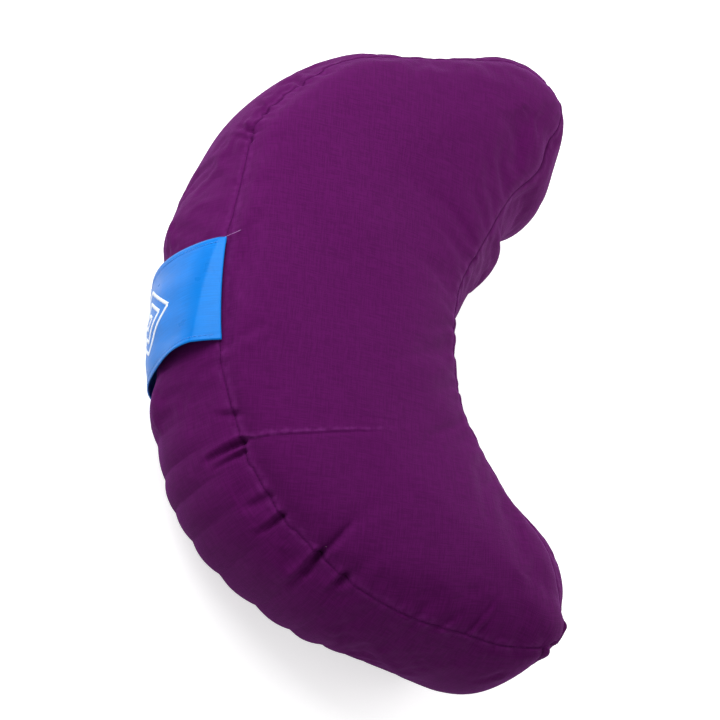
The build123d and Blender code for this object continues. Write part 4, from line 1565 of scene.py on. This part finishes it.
def stops():
    turn = STOP_LENGTH / ZIP_RADIUS
    edge = ZIP_GAP / 2 + COIL_WIDTH
    face = TAPE_DEPTH - COIL_HEIGHT
    reach = radians(ZIP_HALF_ANGLE)

    def rounded(angle_low, angle_high, low, high):
        angles = np.linspace(angle_low, angle_high, 11)
        lows = np.linspace(low, high, 11)
        a = np.linspace(-1, 1, 11)
        cap = (1 - np.abs(a[:, None]) ** 4) * (1 - np.abs(a[None, :]) ** 4)
        front = TAPE_DEPTH - STOP_EDGE + (face + STOP_EDGE - TAPE_DEPTH) * np.sqrt(cap)
        return block(angles, lows, front, TAPE_DEPTH)

    top = [
        rounded(reach, reach + turn, ZIP_GAP / 2, edge),
        rounded(reach, reach + turn, -edge, -ZIP_GAP / 2),
    ]
    many("zip_top_stop_caps", top, nylon, "zip_nylon", "zip_top_stops")
    many("zip_bottom_stop_cap", [rounded(-reach - turn, -reach, -edge, edge)], nylon, "zip_nylon",
         "zip_bottom_stop")


stops()

for node in ("zip_slider", "zip_pull"):
    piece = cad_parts[node]
    piece.data.materials.clear()
    piece.data.materials.append(metal)

# ------------------------------------------------------------------ floor and light


SKY_LIGHT = 0.54  # the camera itself sees the sky white
FLOOR_REACH = 6.0
FLOOR_GLOW = 0.55  # keeps the floor white to the eye without lighting the cushion from below


def make_floor():
    ticks = np.linspace(-1, 1, 25)
    ticks = np.sign(ticks) * np.abs(ticks) ** 1.5 * FLOOR_REACH
    grid_x, grid_y = np.meshgrid(ticks, ticks, indexing="ij")
    points = np.c_[grid_x.ravel(), grid_y.ravel(), np.full(grid_x.size, -0.0002)]
    index = np.arange(grid_x.size).reshape(grid_x.shape)
    shader = Shader("studio_floor")
    where = shader.place()
    grain = shader.noise(where, 40.0, 3.0)
    shader.set(Base_Color=shader.mix(grain, (0.86, 0.86, 0.865, 1), (0.90, 0.90, 0.90, 1)),
               Roughness=shader.uneven(grain, 0.75, 0.85), Specular_IOR_Level=0.1,
               Emission_Color=(1.0, 1.0, 1.0, 1.0))
    seen = shader.add("ShaderNodeLightPath")
    shader.put(shader.surface.inputs["Emission Strength"], shader.math("MULTIPLY", seen, FLOOR_GLOW))
    floor = in_scene("studio_floor", new_mesh("studio_floor", points, [grid_faces(index.T)]))
    floor.data.materials.append(shader.material)


def make_sky():
    world = bpy.data.worlds.new("studio")
    world.use_nodes = True
    tree = world.node_tree
    background = tree.nodes["Background"]
    background.inputs["Color"].default_value = (1.0, 1.0, 1.0, 1.0)
    strength = tree.nodes.new("ShaderNodeMath")
    strength.operation = "MULTIPLY_ADD"
    strength.inputs[1].default_value = 1.0 - SKY_LIGHT
    strength.inputs[2].default_value = SKY_LIGHT
    light_path = tree.nodes.new("ShaderNodeLightPath")
    tree.links.new(light_path.outputs["Is Camera Ray"], strength.inputs[0])
    tree.links.new(strength.outputs[0], background.inputs["Strength"])
    bpy.context.scene.world = world


def area_light(name, position, aim, size, watts):
    data = bpy.data.lights.new(name, "AREA")
    data.shape = "RECTANGLE"
    data.size, data.size_y = size
    data.energy = watts
    light = in_scene(name, data)
    light.location = position
    light.rotation_euler = (Vector(aim) - Vector(position)).to_track_quat("-Z", "Y").to_euler()


make_floor()
make_sky()
area_light("key_soft", (-0.24, -0.41, 0.55), (-0.03, -0.05, 0.1), (0.5, 0.5), 4.1)
area_light("bay_low", (-0.1, 0.8, 0.3), (-0.05, 0.1, 0.06), (0.7, 0.4), 4.2)
area_light("horn_low", (-1.0, -0.1, 0.5), (0, 0, 0.06), (0.7, 0.5), 4.0)
scene = bpy.context.scene
scene.view_settings.view_transform = "Standard"
scene.view_settings.look = "None"
